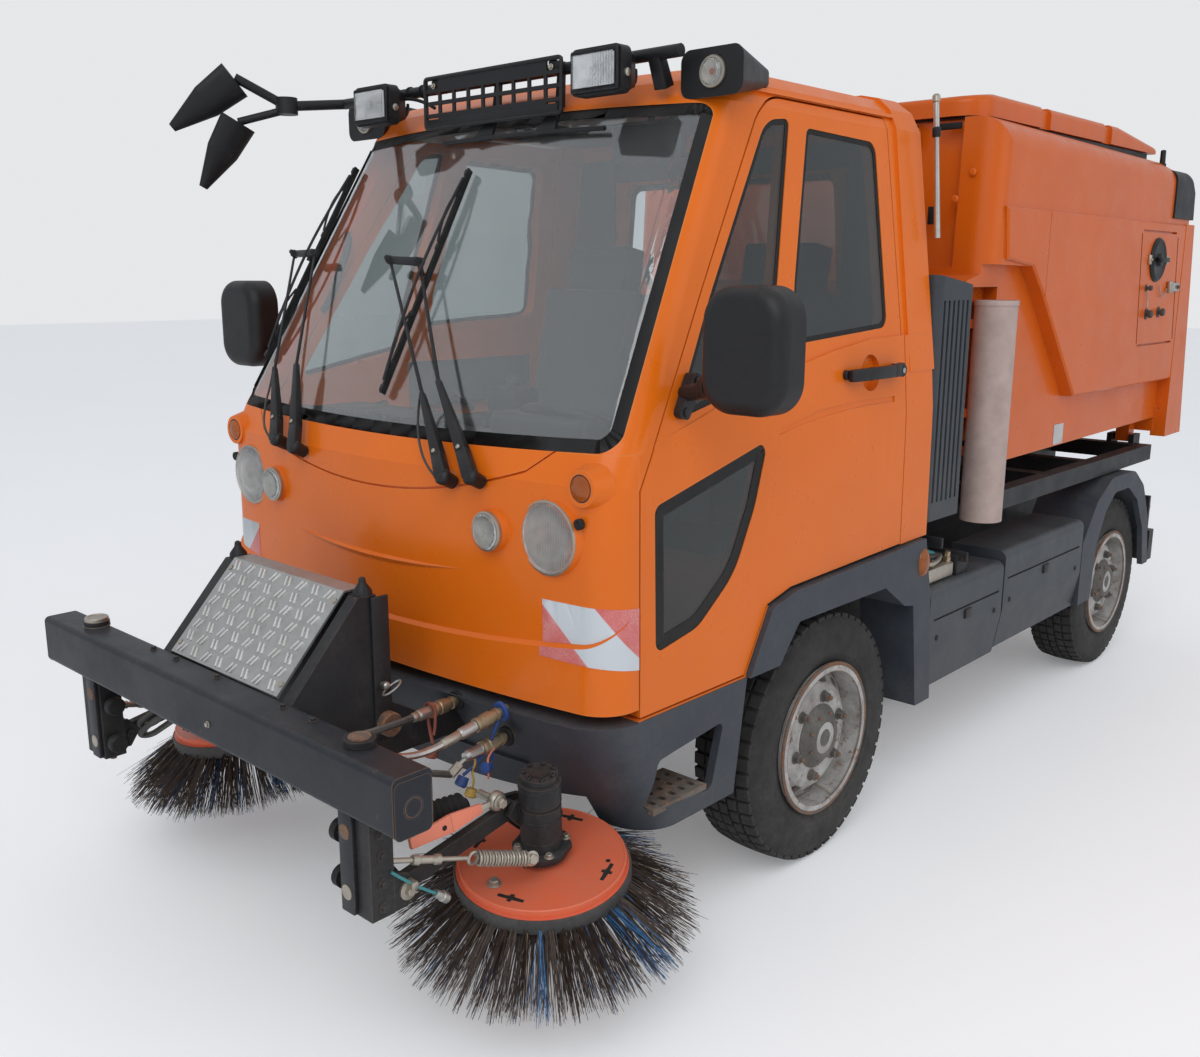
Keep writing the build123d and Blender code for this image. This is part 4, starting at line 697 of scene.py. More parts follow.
# the same box stood up, so that its inset face looks forwards, or rearwards at -90
def standingBox(size, place, bevel, inset, sink, finishName, turn=90):
    piece = boxForm(size, (0, 0, 0), bevel, inset, sink, finishName)
    piece.data.transform(Matrix.Translation(place) @ Matrix.Rotation(math.radians(turn), 4, "X"))
    return piece


# a round form grown ring by ring: rows of height along its axis and radius
def turnedForm(rows, place=(0, 0, 0), axis=(0, 0, 1), steps=28, finishName="steel"):
    clearPick()
    bpy.ops.mesh.primitive_circle_add(vertices=steps, radius=rows[0][1], fill_type="NGON", location=(0, 0, 0))
    piece = bpy.context.object
    openMesh(piece, True)
    bpy.ops.transform.translate(value=(0, 0, rows[0][0]))
    for (lowHeight, lowRadius), (height, radius) in zip(rows, rows[1:]):
        bpy.ops.mesh.extrude_region_move(TRANSFORM_OT_translate={"value": (0, 0, height - lowHeight)})
        grow = radius / lowRadius
        bpy.ops.transform.resize(value=(grow, grow, 1), center_override=(0, 0, height))
    bpy.ops.mesh.select_all(action="SELECT")
    bpy.ops.mesh.remove_doubles(threshold=0.00001)
    bpy.ops.mesh.normals_make_consistent(inside=False)
    closeMesh()
    standOn(piece, place, axis)
    return paint(piece, finishName)


# a flat outline given a thickness; the points are (u, v) in a plane with its own axes
def plateForm(outline, place, across, upward, thickness, bevel=0.0, finishName="steel"):
    clearPick()
    bpy.ops.mesh.primitive_circle_add(vertices=len(outline), radius=1, fill_type="NGON")
    piece = bpy.context.object
    across, upward = Vector(across).normalized(), Vector(upward).normalized()
    for vertex, (u, v) in zip(piece.data.vertices, outline):
        vertex.co = Vector(place) + across * u + upward * v
    openMesh(piece, True)
    bpy.ops.mesh.normals_make_consistent(inside=False)
    away = across.cross(upward)
    bpy.ops.mesh.extrude_region_move(TRANSFORM_OT_translate={"value": away * thickness})
    bpy.ops.mesh.select_all(action="SELECT")
    bpy.ops.mesh.normals_make_consistent(inside=False)
    closeMesh()
    roundEdges(piece, bevel)
    return paint(piece, finishName)


# a hose, wire or bent tube through given points
def tubeForm(points, radius, finishName="hoseRubber", smooth=True, turns=8):
    clearPick()
    bpy.ops.curve.primitive_nurbs_path_add()
    line = bpy.context.object
    curve = line.data
    curve.splines.clear()
    spline = curve.splines.new("NURBS" if smooth else "POLY")
    spline.points.add(len(points) - 1)
    for point, place in zip(spline.points, points):
        point.co = (*place, 1)
    if smooth:
        spline.order_u = 3
        spline.use_endpoint_u = True
        spline.resolution_u = 6
    curve.bevel_depth = radius
    curve.bevel_resolution = max(1, turns // 4)
    curve.use_fill_caps = True
    line.select_set(True)
    bpy.context.view_layer.objects.active = line
    bpy.ops.object.convert(target="MESH")
    return paint(bpy.context.object, finishName)


def copyPiece(piece, matrix):
    other = piece.copy()
    other.data = piece.data.copy()
    bpy.context.scene.collection.objects.link(other)
    other.data.transform(matrix)
    return other


def mirrorPiece(piece, name, body):
    other = piece.copy()
    other.data = piece.data.copy()
    bpy.context.scene.collection.objects.link(other)
    other.parent = None
    other.matrix_world = Matrix.Identity(4)
    other.data.transform(Matrix.Scale(-1, 4, (1, 0, 0)))
    other.data.flip_normals()
    other.name = name
    other.data.name = name
    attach(other, body)
    return other


# parts joined on the left side, with their mirror image on the right
def settleBoth(parts, name, body, smooth=35):
    piece = settle(joinPieces(parts), name + "_left", body + "_left", smooth)
    mirrorPiece(piece, name + "_right", body + "_right")


# hexagon bolt with its washer, standing on a place
def boltForm(place, axis, size=0.010, finishName="zinc"):
    head = turnedForm([(0.0, size), (size * 0.75, size), (size * 0.9, size * 0.84)], (0, 0, size * 0.2),
                      steps=6, finishName=finishName)
    washer = turnedForm([(0.0, size * 1.35), (size * 0.12, size * 1.4), (size * 0.2, size * 1.3)], steps=18,
                        finishName=finishName)
    piece = joinPieces([head, washer])
    standOn(piece, place, axis)
    return piece


# height and x of the windscreen's outer face, from the cab's rows
def onScreen(x, z, lift=0.0):
    k = (z - 1.335) / 0.825
    return Vector((x, along(-1.0 + 0.48 * k + 0.075 * (x / 0.82) ** 2 - lift), z))


# black printed borders of the windows: a ring cut from a copy of each pane's outer face
frits = {"windscreen": 0.034, "rear": 0.02, "door": 0.014, "lower": 0.034, "lift": 0.0008}


# a copy of a CAD node, open for cutting and with its seams merged
def openCopy(node):
    clearPick()
    piece = nodes[node].copy()
    piece.data = nodes[node].data.copy()
    bpy.context.scene.collection.objects.link(piece)
    for key in list(piece.keys()):
        del piece[key]
    piece.parent = None
    openMesh(piece, True)
    bpy.ops.mesh.remove_doubles(threshold=0.0001)
    return piece


def paneRing(node, width, keep, name, body):
    ring = openCopy(node)
    bpy.ops.mesh.select_all(action="DESELECT")
    pickFaces(ring, lambda c, n: not keep(c, n))
    bpy.ops.mesh.delete(type="FACE")
    bpy.ops.mesh.select_all(action="SELECT")
    bpy.ops.mesh.dissolve_limited(angle_limit=0.02)
    bpy.ops.mesh.select_all(action="SELECT")
    bpy.ops.mesh.inset(thickness=width, use_boundary=True)
    bpy.ops.mesh.delete(type="FACE")
    closeMesh()
    addModifier(ring, "SOLIDIFY", thickness=frits["lift"] * 2, offset=1.0)
    paint(ring, "sealRubber")
    settle(ring, name, body, 25)


def addFrits():
    paneRing("cab_glass", frits["windscreen"], lambda c, n: n.y < -0.3 and c.y < along(-0.3) and n.z > 0,
             "windscreenBorder", "chassis")
    paneRing("cab_glass", frits["rear"], lambda c, n: n.y > 0.8 and c.y > along(0.3), "rearWindowBorder",
             "chassis")
    for side, sign in (("left", 1), ("right", -1)):
        node, body = "door_glass_" + side, "door_" + side
        paneRing(node, frits["door"], lambda c, n: n.x * sign > 0.7 and c.z > 1.3, "sideBorder_" + side, body)
        paneRing(node, frits["lower"], lambda c, n: n.x * sign > 0.7 and c.z < 1.3, "lowerBorder_" + side,
                 body)


def barForm(start, end, wide, thick, endWide=None, endThick=None, upward=(0, 0, 1), bevel=0.002,
            finishName="blackPlastic"):
    start, end = Vector(start), Vector(end)
    reach = end - start
    clearPick()
    bpy.ops.mesh.primitive_cube_add(size=1, location=(0, 0, 0.5))
    piece = bpy.context.object
    bpy.ops.object.transform_apply(location=True, rotation=False, scale=False)
    openMesh(piece)
    pickFaces(piece, lambda c, n: n.z > 0.9)
    bpy.ops.transform.resize(value=((endWide or wide) / wide, (endThick or thick) / thick, 1),
                             center_override=(0, 0, 1))
    closeMesh()
    piece.scale = (wide, thick, reach.length)
    applyAll(piece)
    roundEdges(piece, bevel)
    forward = reach.normalized()
    across = forward.cross(Vector(upward)).normalized()
    outward = across.cross(forward).normalized()
    turn = Matrix((across, outward, forward)).transposed().to_4x4()
    if turn.determinant() < 0:
        turn = Matrix((-across, outward, forward)).transposed().to_4x4()
    piece.matrix_world = Matrix.Translation(start) @ turn
    applyAll(piece)
    return paint(piece, finishName)


# lamps of the front panel: kind, x, height, radius and distance of the lens
frontLamps = {"rows": [("head", 0.642, 1.136, 0.088, -1.006), ("fog", 0.469, 1.132, 0.047, -1.043),
                       ("upper", 0.740, 1.264, 0.032, -0.992)]}


def lampUnit(name, x, z, radius, front, sign):
    base = (sign * x, along(front) + 0.012, z)
    facing = (0, -1, 0)
    facets = 12 if name == "fog" else 36
    bowl = turnedForm([(-0.018, radius * 0.4), (-0.018, radius - 0.001), (0.001, radius - 0.001),
                       (0.002, radius - 0.003), (0.001, radius * 0.94), (-0.006, radius * 0.84),
                       (-0.012, radius * 0.62), (-0.0155, radius * 0.36), (-0.017, radius * 0.16),
                       (-0.017, 0.001)], base, facing, facets,
                      "amberGlass" if name == "upper" else "reflector")
    bulb = turnedForm([(-0.016, radius * 0.13), (-0.010, radius * 0.13), (-0.006, radius * 0.16),
                       (0.0, radius * 0.15), (0.003, radius * 0.08), (0.0035, 0.001)], base, facing, 16,
                      "lampGlass")
    rim = turnedForm([(-0.020, radius - 0.001), (-0.020, radius + 0.002), (0.000, radius + 0.0026),
                      (0.003, radius + 0.002), (0.004, radius - 0.002), (0.002, radius - 0.004),
                      (-0.004, radius - 0.0045)], base, facing, 40,
                     "boxPlastic" if name == "upper" else "zinc")
    unit = joinPieces([bowl, bulb, rim])
    lens = turnedForm([(0.001, 0.001), (0.001, radius * 0.6), (0.001, radius - 0.004),
                       (0.003, radius - 0.0025), (0.006, radius * 0.92), (0.0095, radius * 0.7),
                       (0.0115, radius * 0.4), (0.012, 0.001)], base, facing, 36,
                      {"head": "flutedGlass", "fog": "clearLens", "upper": "amberGlass"}[name])
    side = "left" if sign > 0 else "right"
    settle(unit, "lamp_%s_%s" % (name, side), "chassis", 50 if name != "fog" else 10)
    settle(lens, "lens_%s_%s" % (name, side), "chassis", 60)
    return unit


def addFrontLamps():
    for sign in (1, -1):
        for name, x, z, radius, front in frontLamps["rows"]:
            unit = lampUnit(name, x, z, radius, front, sign)
            if name == "head":
                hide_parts("headlamps")


# wipers: pivots, tops of the arm covers, ends of the yoke and of the blade, as x and height on the windscreen
wipers = {"centre": {"pivots": ((0.354, 1.254), (0.442, 1.263)), "tops": ((0.187, 1.440), (0.226, 1.474)),
                     "yoke": ((-0.190, 1.776), (-0.050, 1.770)), "blade": ((-0.012, 1.428), (-0.035, 2.025))},
          "right": {"pivots": ((-0.402, 1.272), (-0.290, 1.262)), "tops": ((-0.560, 1.460), (-0.440, 1.480)),
                    "yoke": ((-0.790, 1.800), (-0.640, 1.800)), "blade": ((-0.715, 1.483), (-0.665, 2.070))},
          "lift": 0.046, "bladeLift": 0.022}


def addWiper(rows):
    parts = []
    away = Vector((0, -0.86, 0.5))
    yokes = [onScreen(x, z, wipers["lift"]) for x, z in rows["yoke"]]
    for (px, pz), (tx, tz), yoke in zip(rows["pivots"], rows["tops"], yokes):
        foot = onScreen(px, pz, 0.028)
        top = onScreen(tx, tz, wipers["lift"] + 0.006)
        parts.append(turnedForm([(-0.034, 0.017), (-0.006, 0.019), (0.0, 0.021), (0.010, 0.021),
                                 (0.016, 0.016), (0.018, 0.006)], foot, away, 20, "blackPlastic"))
        knuckle = foot.lerp(top, 0.26)
        parts += [barForm(foot + away * 0.006, knuckle, 0.036, 0.024, 0.030, 0.026, away),
                  barForm(knuckle, top, 0.030, 0.026, 0.013, 0.014, away),
                  barForm(top - (yoke - top).normalized() * 0.03, yoke, 0.009, 0.006, 0.008, 0.005, away,
                          0.001),
                  turnedForm([(-0.006, 0.004), (-0.006, 0.006), (0.004, 0.006), (0.006, 0.003)],
                             foot.lerp(top, 0.28) + away * 0.014, away, 10, "zinc")]
    parts.append(barForm(yokes[0] - (yokes[1] - yokes[0]).normalized() * 0.012,
                         yokes[1] + (yokes[1] - yokes[0]).normalized() * 0.014, 0.020, 0.012, 0.022, 0.014,
                         away))
    for yoke in yokes:
        parts.append(turnedForm([(-0.012, 0.008), (-0.010, 0.012), (0.006, 0.012), (0.010, 0.009),
                                 (0.018, 0.006)], yoke, away, 14, "blackPlastic"))
    low = onScreen(*rows["blade"][0], wipers["bladeLift"])
    high = onScreen(*rows["blade"][1], wipers["bladeLift"])
    middle = low.lerp(high, 0.5)
    run = (high - low).normalized()
    parts += [barForm(low, high, 0.009, 0.006, 0.009, 0.006, away, 0.001, "sealRubber"),
              barForm(low - away * 0.008, high - away * 0.008, 0.003, 0.016, 0.003, 0.016, away, 0.0,
                      "sealRubber"),
              tubeForm([low.lerp(high, 0.05) + away * 0.006, low.lerp(high, 0.2) + away * 0.018,
                        middle + away * 0.030, low.lerp(high, 0.8) + away * 0.018,
                        low.lerp(high, 0.95) + away * 0.006], 0.0045, "blackPlastic")]
    for share in (0.22, 0.78):
        centre = low.lerp(high, share) + away * 0.020
        parts.append(tubeForm([centre - run * 0.085 - away * 0.014, centre - run * 0.03, centre + run * 0.03,
                               centre + run * 0.085 - away * 0.014], 0.0035, "blackPlastic"))
    for share in (0.02, 0.12, 0.34, 0.64, 0.88, 0.98):
        clip = low.lerp(high, share)
        parts.append(barForm(clip - run * 0.009, clip + run * 0.009, 0.013, 0.011, 0.013, 0.011, away, 0.001))
    parts.append(barForm(middle + away * 0.012, yokes[1] + away * 0.004, 0.012, 0.010, 0.012, 0.010, away,
                         0.001))
    foot = onScreen(*rows["pivots"][0], 0.02)
    top = onScreen(*rows["tops"][0], wipers["lift"])
    down = Vector((0, 0, -1))
    parts.append(tubeForm([top + away * 0.012, top + down * 0.04 + away * 0.012 - Vector((0.012, 0, 0)),
                           top.lerp(foot, 0.5) + Vector((-0.055, -0.012, -0.01)),
                           foot + Vector((-0.06, -0.016, 0.02)), foot + Vector((-0.02, -0.012, -0.006))],
                          0.0032, "hoseRubber"))
    return joinPieces(parts)


def addWipers():
    both = joinPieces([addWiper(wipers["centre"]), addWiper(wipers["right"])])
    settle(both, "windscreenWipers", "chassis", 40)
    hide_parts("wipers")


# side brushes: centre of the disc, its axis, and the bristles by ring
brush = {"centre": (0.684, along(-1.061), 0.369), "axis": (0.085, -0.12, 1.0),
         "rings": ((0.203, 46), (0.176, 38), (0.150, 30)), "rootDepth": 0.050, "length": 0.205,
         "tipRadius": 0.372, "strands": 24, "thick": 0.0013, "seed": 7}


def brushFrame():
    axis = Vector(brush["axis"]).normalized()
    across = Vector((1, 0, -brush["axis"][0]))
    across = (across - axis * across.dot(axis)).normalized()
    turn = Matrix((across, axis.cross(across), axis)).transposed().to_4x4()
    return Matrix.Translation(brush["centre"]) @ turn


# one strand is a thin cone with a bend, from the origin upwards
def strandForm(finishName):
    clearPick()
    bpy.ops.mesh.primitive_cone_add(vertices=3, radius1=1, radius2=0.45, depth=1, location=(0, 0, 0.5),
                                    end_fill_type="NOTHING")
    strand = bpy.context.object
    bpy.ops.object.transform_apply(location=True, rotation=False, scale=False)
    openMesh(strand)
    pickEdges(strand, lambda a, b: abs(a.z - b.z) > 0.5)
    bpy.ops.mesh.subdivide(number_cuts=2)
    closeMesh()
    return paint(strand, finishName)


def tuftForm(masters, rng, count, blue, straw):
    parts = []
    for index in range(count):
        thick = brush["thick"] * rng.uniform(0.75, 1.25)
        length = brush["length"] * rng.uniform(0.86, 1.04)
        tilt = Matrix.Rotation(rng.gauss(0, 0.055), 4, "X") @ Matrix.Rotation(rng.gauss(0, 0.060), 4, "Y")
        at = Matrix.Translation((rng.uniform(-0.012, 0.012), rng.uniform(-0.008, 0.008), 0))
        chance = rng.random()
        kind = "blueBristle" if chance < blue else "strawBristle" if chance < blue + straw else "darkBristle"
        strand = copyPiece(masters[kind], at @ tilt @ Matrix.Diagonal((thick, thick, length, 1)))
        bend, swing = rng.uniform(-0.012, 0.020), rng.uniform(-0.012, 0.012)
        for vertex in strand.data.vertices:
            share = max(0.0, vertex.co.z / length)
            vertex.co.y += bend * share * share
            vertex.co.x += swing * share * share
        parts.append(strand)
    return joinPieces(parts)


def addBristles():
    rng = random.Random(brush["seed"])
    masters = {name: strandForm(name) for name in ("darkBristle", "blueBristle", "strawBristle")}
    tufts = {name: [tuftForm(masters, rng, brush["strands"], blue, straw) for index in range(count)]
             for name, count, blue, straw in (("plain", 5, 0.03, 0.004), ("mixed", 4, 0.42, 0.01))}
    place = brushFrame()
    parts = []
    for ring, (radius, count) in enumerate(brush["rings"]):
        for index in range(count):
            angle = 2 * math.pi * (index + 0.5 * (ring % 2)) / count + rng.uniform(-0.02, 0.02)
            lean = math.atan2(brush["tipRadius"] - 0.203 - 0.02 * ring,
                              0.11) - 0.12 * ring + rng.uniform(-0.05, 0.05)
            tuft = rng.choice(tufts["mixed" if rng.random() < 0.24 else "plain"])
            stand = Matrix.Rotation(angle, 4, "Z") @ Matrix.Translation((radius, 0, -brush["rootDepth"]))
            stand = stand @ Matrix.Rotation(math.pi - lean, 4, "Y") @ Matrix.Rotation(rng.uniform(-3, 3), 4,
                    "Z")
            parts.append(copyPiece(tuft, place @ stand))
    whole = joinPieces(parts)
    settle(whole, "bristleStrands_left", "brush_left", 60)
    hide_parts("bristles_left")
    other = mirrorPiece(whole, "bristleStrands_right", "brush_right")
    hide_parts("bristles_right")
    for spare in [*masters.values(), *tufts["plain"], *tufts["mixed"]]:
        bpy.data.objects.remove(spare)


# motor, disc and head of each side brush
def addBrushDetails():
    place = brushFrame()
    axis = Vector(brush["axis"]).normalized()

    def at(radius, angle, height):
        return place @ Vector((radius * math.cos(angle), radius * math.sin(angle), height))

    parts = []
    for index in range(7):
        angle = 2 * math.pi * index / 7 + 0.3
        parts.append(turnedForm([(0.0, 0.0062), (0.007, 0.0062), (0.0085, 0.0052), (0.0085, 0.003),
                                 (0.004, 0.0028), (0.004, 0.0005)], at(0.036, angle, 0.231), axis, 10,
                                "blackPlastic"))
    parts.append(turnedForm([(0.0, 0.024), (0.003, 0.0235), (0.0035, 0.002)], at(0.0, 0, 0.2315), axis, 24,
                            "blackPlastic"))
    for height in (0.060, 0.118, 0.2):
        parts.append(turnedForm([(0.0, 0.0505), (0.001, 0.0522), (0.003, 0.0522), (0.004, 0.0505)],
                                at(0, 0, height), axis, 40, "blackPlastic"))
    flange = plateForm([(0.066, 0.03), (0.03, 0.066), (-0.03, 0.066), (-0.066, 0.03), (-0.066, -0.03),
                        (-0.03, -0.066), (0.03, -0.066), (0.066, -0.03)], at(0, 0, 0.022),
                       place.to_3x3() @ Vector((1, 0.3, 0)), axis.cross(place.to_3x3() @ Vector((1, 0.3,
            0))), 0.016, 0.002, "frameBlack")
    parts.append(flange)
    for index in range(4):
        angle = math.pi / 4 + index * math.pi / 2 + 0.29
        parts.append(boltForm(at(0.060, angle, 0.038), axis, 0.0085, "zinc"))
    settleBoth(parts, "motorDetails", "brush_head", 40)
    discParts = [boltForm(at(0.150, -1.62, 0.0005), axis, 0.0125, "zinc")]
    for angle, radius in ((2.5, 0.15), (0.6, 0.16), (4.0, 0.09)):
        discParts.append(turnedForm([(0.0, 0.006), (0.001, 0.0058), (0.0012, 0.001)],
                                    at(radius, angle, 0.0002), axis, 12, "sealRubber"))
    # dark flat slot shapes on the disc: painted shade standing in for the hollows of its four slots
    for angle in (math.radians(20 + 90 * k) for k in range(4)):
        for share in (-1, 1):
            discParts.append(turnedForm([(0.0, 0.006), (0.0008, 0.006), (0.0010, 0.001)],
                                        at(0.168, angle + share * 0.045, 0.0002), axis, 12, "sealRubber"))
        outward = place.to_3x3() @ Vector((math.cos(angle), math.sin(angle), 0))
        discParts += [plateForm([(-0.033, -0.0045), (0.033, -0.0045), (0.033, 0.0045), (-0.033, 0.0045)],
                                at(0.168, angle, 0.0006), axis.cross(outward), outward, 0.0008, 0.0,
                                "sealRubber"),
                      plateForm([(-0.005, -0.013), (0.005, -0.013), (0.005, 0.013), (-0.005, 0.013)],
                                at(0.168, angle, 0.0007), axis.cross(outward), outward, 0.0008, 0.0,
                                "sealRubber")]
    discParts.append(turnedForm([(-0.004, 0.2025), (-0.003, 0.2035), (-0.0005, 0.2035), (0.0012, 0.2015),
                                 (0.0012, 0.1985), (-0.001, 0.197)], at(0, 0, 0), axis, 72, "brushPaint"))
    settleBoth(discParts, "discDetails", "brush", 40)


# lifting gear of each brush: lever, turnbuckle, coil spring and bellows
gear = {"leverStart": (0.650, along(-1.430), 0.529), "leverEnd": (0.650, along(-1.222), 0.540),
        "ball": (0.650, along(-1.176), 0.541), "springStart": (0.664, along(-1.500), 0.522),
        "springJoint": (0.700, along(-1.300), 0.463), "springEnd": (0.750, along(-1.160), 0.425), "coils": 17}


def springForm(start, end, radius, wire, coils, finishName):
    start, end = Vector(start), Vector(end)
    reach = end - start
    turn = reach.to_track_quat("Z", "Y").to_matrix()
    points = []
    for index in range(coils * 10 + 1):
        angle = 2 * math.pi * index / 10
        points.append(start + turn @ Vector((radius * math.cos(angle), radius * math.sin(angle),
                                             reach.length * index / (coils * 10))))
    return tubeForm(points, wire, finishName, False, 4)


def addGear():
    middle = Vector(gear["leverStart"]).lerp(Vector(gear["leverEnd"]), 0.56)
    lever = joinPieces([barForm(gear["leverStart"], middle, 0.026, 0.012, 0.043, 0.012, (1, 0, 0.2), 0.003,
                                "leverPaint"), barForm(middle, gear["leverEnd"], 0.043, 0.012, 0.022, 0.012,
                                                       (1, 0, 0.2), 0.003, "leverPaint")])
    start, end = Vector(gear["leverStart"]), Vector(gear["leverEnd"])
    run = (end - start).normalized()
    parts = [lever,
             turnedForm([(0.0, 0.0065), (0.0012, 0.006), (0.0014, 0.001)],
                        start.lerp(end, 0.45) + Vector((0.0062, 0, 0)), (1, 0, 0), 14, "sealRubber")]
    ball = Vector(gear["ball"])
    parts += [barForm(end - run * 0.01, ball, 0.015, 0.012, 0.013, 0.012, (1, 0, 0.2), 0.002, "zinc"),
              turnedForm([(-0.012, 0.010), (-0.011, 0.020), (-0.006, 0.024), (0.006, 0.024), (0.011, 0.020),
                          (0.012, 0.010)], ball, (1, 0, 0), 24, "zinc"),
              boltForm(ball + Vector((0.012, 0, 0)), (1, 0, 0), 0.013, "zinc"),
              turnedForm([(-0.06, 0.010), (-0.012, 0.010), (-0.011, 0.012), (0.012, 0.012)], ball,
                         (1, 0, 0), 16, "zinc")]
    settleBoth(parts, "liftLever", "brush_link", 40)

    start, joint, end = (Vector(gear[key]) for key in ("springStart", "springJoint", "springEnd"))
    run = (joint - start).normalized()
    pull = (end - joint).normalized()
    parts = [turnedForm([(0.0, 0.006), (0.06, 0.006), (0.06, 0.011), (0.075, 0.012), (0.078, 0.009),
                         (0.115, 0.009), (0.118, 0.012), (0.13, 0.012), (0.13, 0.0055),
                         ((joint - start).length - 0.01, 0.0055)], start, run, 14, "zinc")]
    ring = [joint + pull * 0.006 + Vector((0, 0.014 * math.cos(a), 0.014 * math.sin(a))) for a in
            [2 * math.pi * k / 12 for k in range(13)]]
    parts += [tubeForm(ring, 0.004, "zinc", False, 4),
              springForm(joint + pull * 0.016, end - pull * 0.012, 0.0165, 0.0030, gear["coils"], "zinc"),
              boltForm(end, (1, -0.3, 0.2), 0.013, "zinc"),
              barForm(end, end + Vector((-0.03, 0.015, -0.03)), 0.03, 0.008, 0.03, 0.008, (1, 0, 0), 0.002,
                      "frameBlack")]
    settleBoth(parts, "liftSpring", "brush_link", 40)

    rows = [(0.0, 0.018)]
    for fold in range(7):
        rows += [(0.007 + 0.017 * fold, 0.034), (0.0155 + 0.017 * fold, 0.024)]
    rows.append((0.126, 0.018))
    bellows = turnedForm(rows, (0.585, along(-1.350), 0.535), (0.06, 0.55, -0.02), 28, "sealRubber")
    settleBoth([bellows], "bellows", "brush_link", 60)


# a closed outline of (radius, height) points spun round an axis
def spunForm(outline, place, axis, steps=48, finishName="steel"):
    clearPick()
    bpy.ops.mesh.primitive_circle_add(vertices=len(outline), radius=1, fill_type="NOTHING")
    piece = bpy.context.object
    for vertex, (radius, height) in zip(piece.data.vertices, outline):
        vertex.co = (radius, 0, height)
    openMesh(piece, True)
    bpy.ops.mesh.spin(steps=steps, angle=2 * math.pi, center=(0, 0, 0), axis=(0, 0, 1))
    bpy.ops.mesh.select_all(action="SELECT")
    bpy.ops.mesh.remove_doubles(threshold=0.00002)
    bpy.ops.mesh.normals_make_consistent(inside=False)
    closeMesh()
    standOn(piece, place, axis)
    return paint(piece, finishName)


def roundedOutline(width, tall, radius, steps=5):
    points = []
    for cornerX, cornerY, start in ((1, 1, 0), (-1, 1, 90), (-1, -1, 180), (1, -1, 270)):
        for step in range(steps + 1):
            angle = math.radians(start + 90 * step / steps)
            points.append((cornerX * (width / 2 - radius) + radius * math.cos(angle),
                           cornerY * (tall / 2 - radius) + radius * math.sin(angle)))
    return points


# wheels: x of the middle and distance of each, and what stands on them
wheels = {"front": (0.705, 0.0), "rear": (0.670, 2.44), "height": 0.384, "studs": 6, "studCircle": 0.121,
          "blocks": 52, "grooveFloor": 0.3735}


def treadBlock(radial, height, long, wide, tilt=0.0):
    block = boxForm((0.016, long, wide), (0, 0, 0), 0.0016, 0, 0, "tyreRubber", 1)
    block.data.transform(Matrix.Translation((radial, 0, height)) @ Matrix.Rotation(tilt, 4, "Y"))
    return block


def addTyre(name, x, distance):
    floor = wheels["grooveFloor"]
    half = [(0.0, floor), (0.060, floor - 0.001), (0.086, floor - 0.005), (0.094, 0.362), (0.1005, 0.345),
            (0.1030, 0.338), (0.1035, 0.334), (0.1062, 0.318), (0.108, 0.300), (0.1072, 0.284),
            (0.1050, 0.268), (0.1058, 0.264), (0.1056, 0.259), (0.1028, 0.254), (0.1005, 0.247),
            (0.0965, 0.236), (0.090, 0.2225)]
    outline = [(radius, height) for height, radius in half]
    outline += [(radius, -height) for height, radius in reversed(half[1:])]
    casing = spunForm(outline, (0, 0, 0), (0, 0, 1), 64, "tyreRubber")
    parts = [casing]
    rows = [(0.0, 0.3758, 0.040, 0.027, 0.0), (0.034, 0.3752, 0.037, 0.028, 0.03),
            (-0.034, 0.3752, 0.037, 0.028, -0.03), (0.0735, 0.3715, 0.035, 0.037, 0.13),
            (-0.0735, 0.3715, 0.035, 0.037, -0.13)]
    count = wheels["blocks"]
    for row, (height, radial, long, wide, tilt) in enumerate(rows):
        block = treadBlock(radial, height, long, wide, -tilt)
        for index in range(count):
            angle = 2 * math.pi * (index + 0.5 * (row % 2)) / count
            parts.append(copyPiece(block, Matrix.Rotation(angle, 4, "Z")))
        bpy.data.objects.remove(block)
    tyre = joinPieces(parts)
    outward = Vector((1, 0, 0)).to_track_quat("Z", "Y").to_matrix().to_4x4()
    tyre.matrix_world = Matrix.Translation((x, along(distance), wheels["height"])) @ outward
    body = "wheel_%s_left" % name
    settle(tyre, "tyre_%s_left_tread" % name, body, 30)
    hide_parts("tyre_%s_left" % name)
    other = mirrorPiece(tyre, "tyre_%s_right_tread" % name, "wheel_%s_right" % name)
    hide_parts("tyre_%s_right" % name)


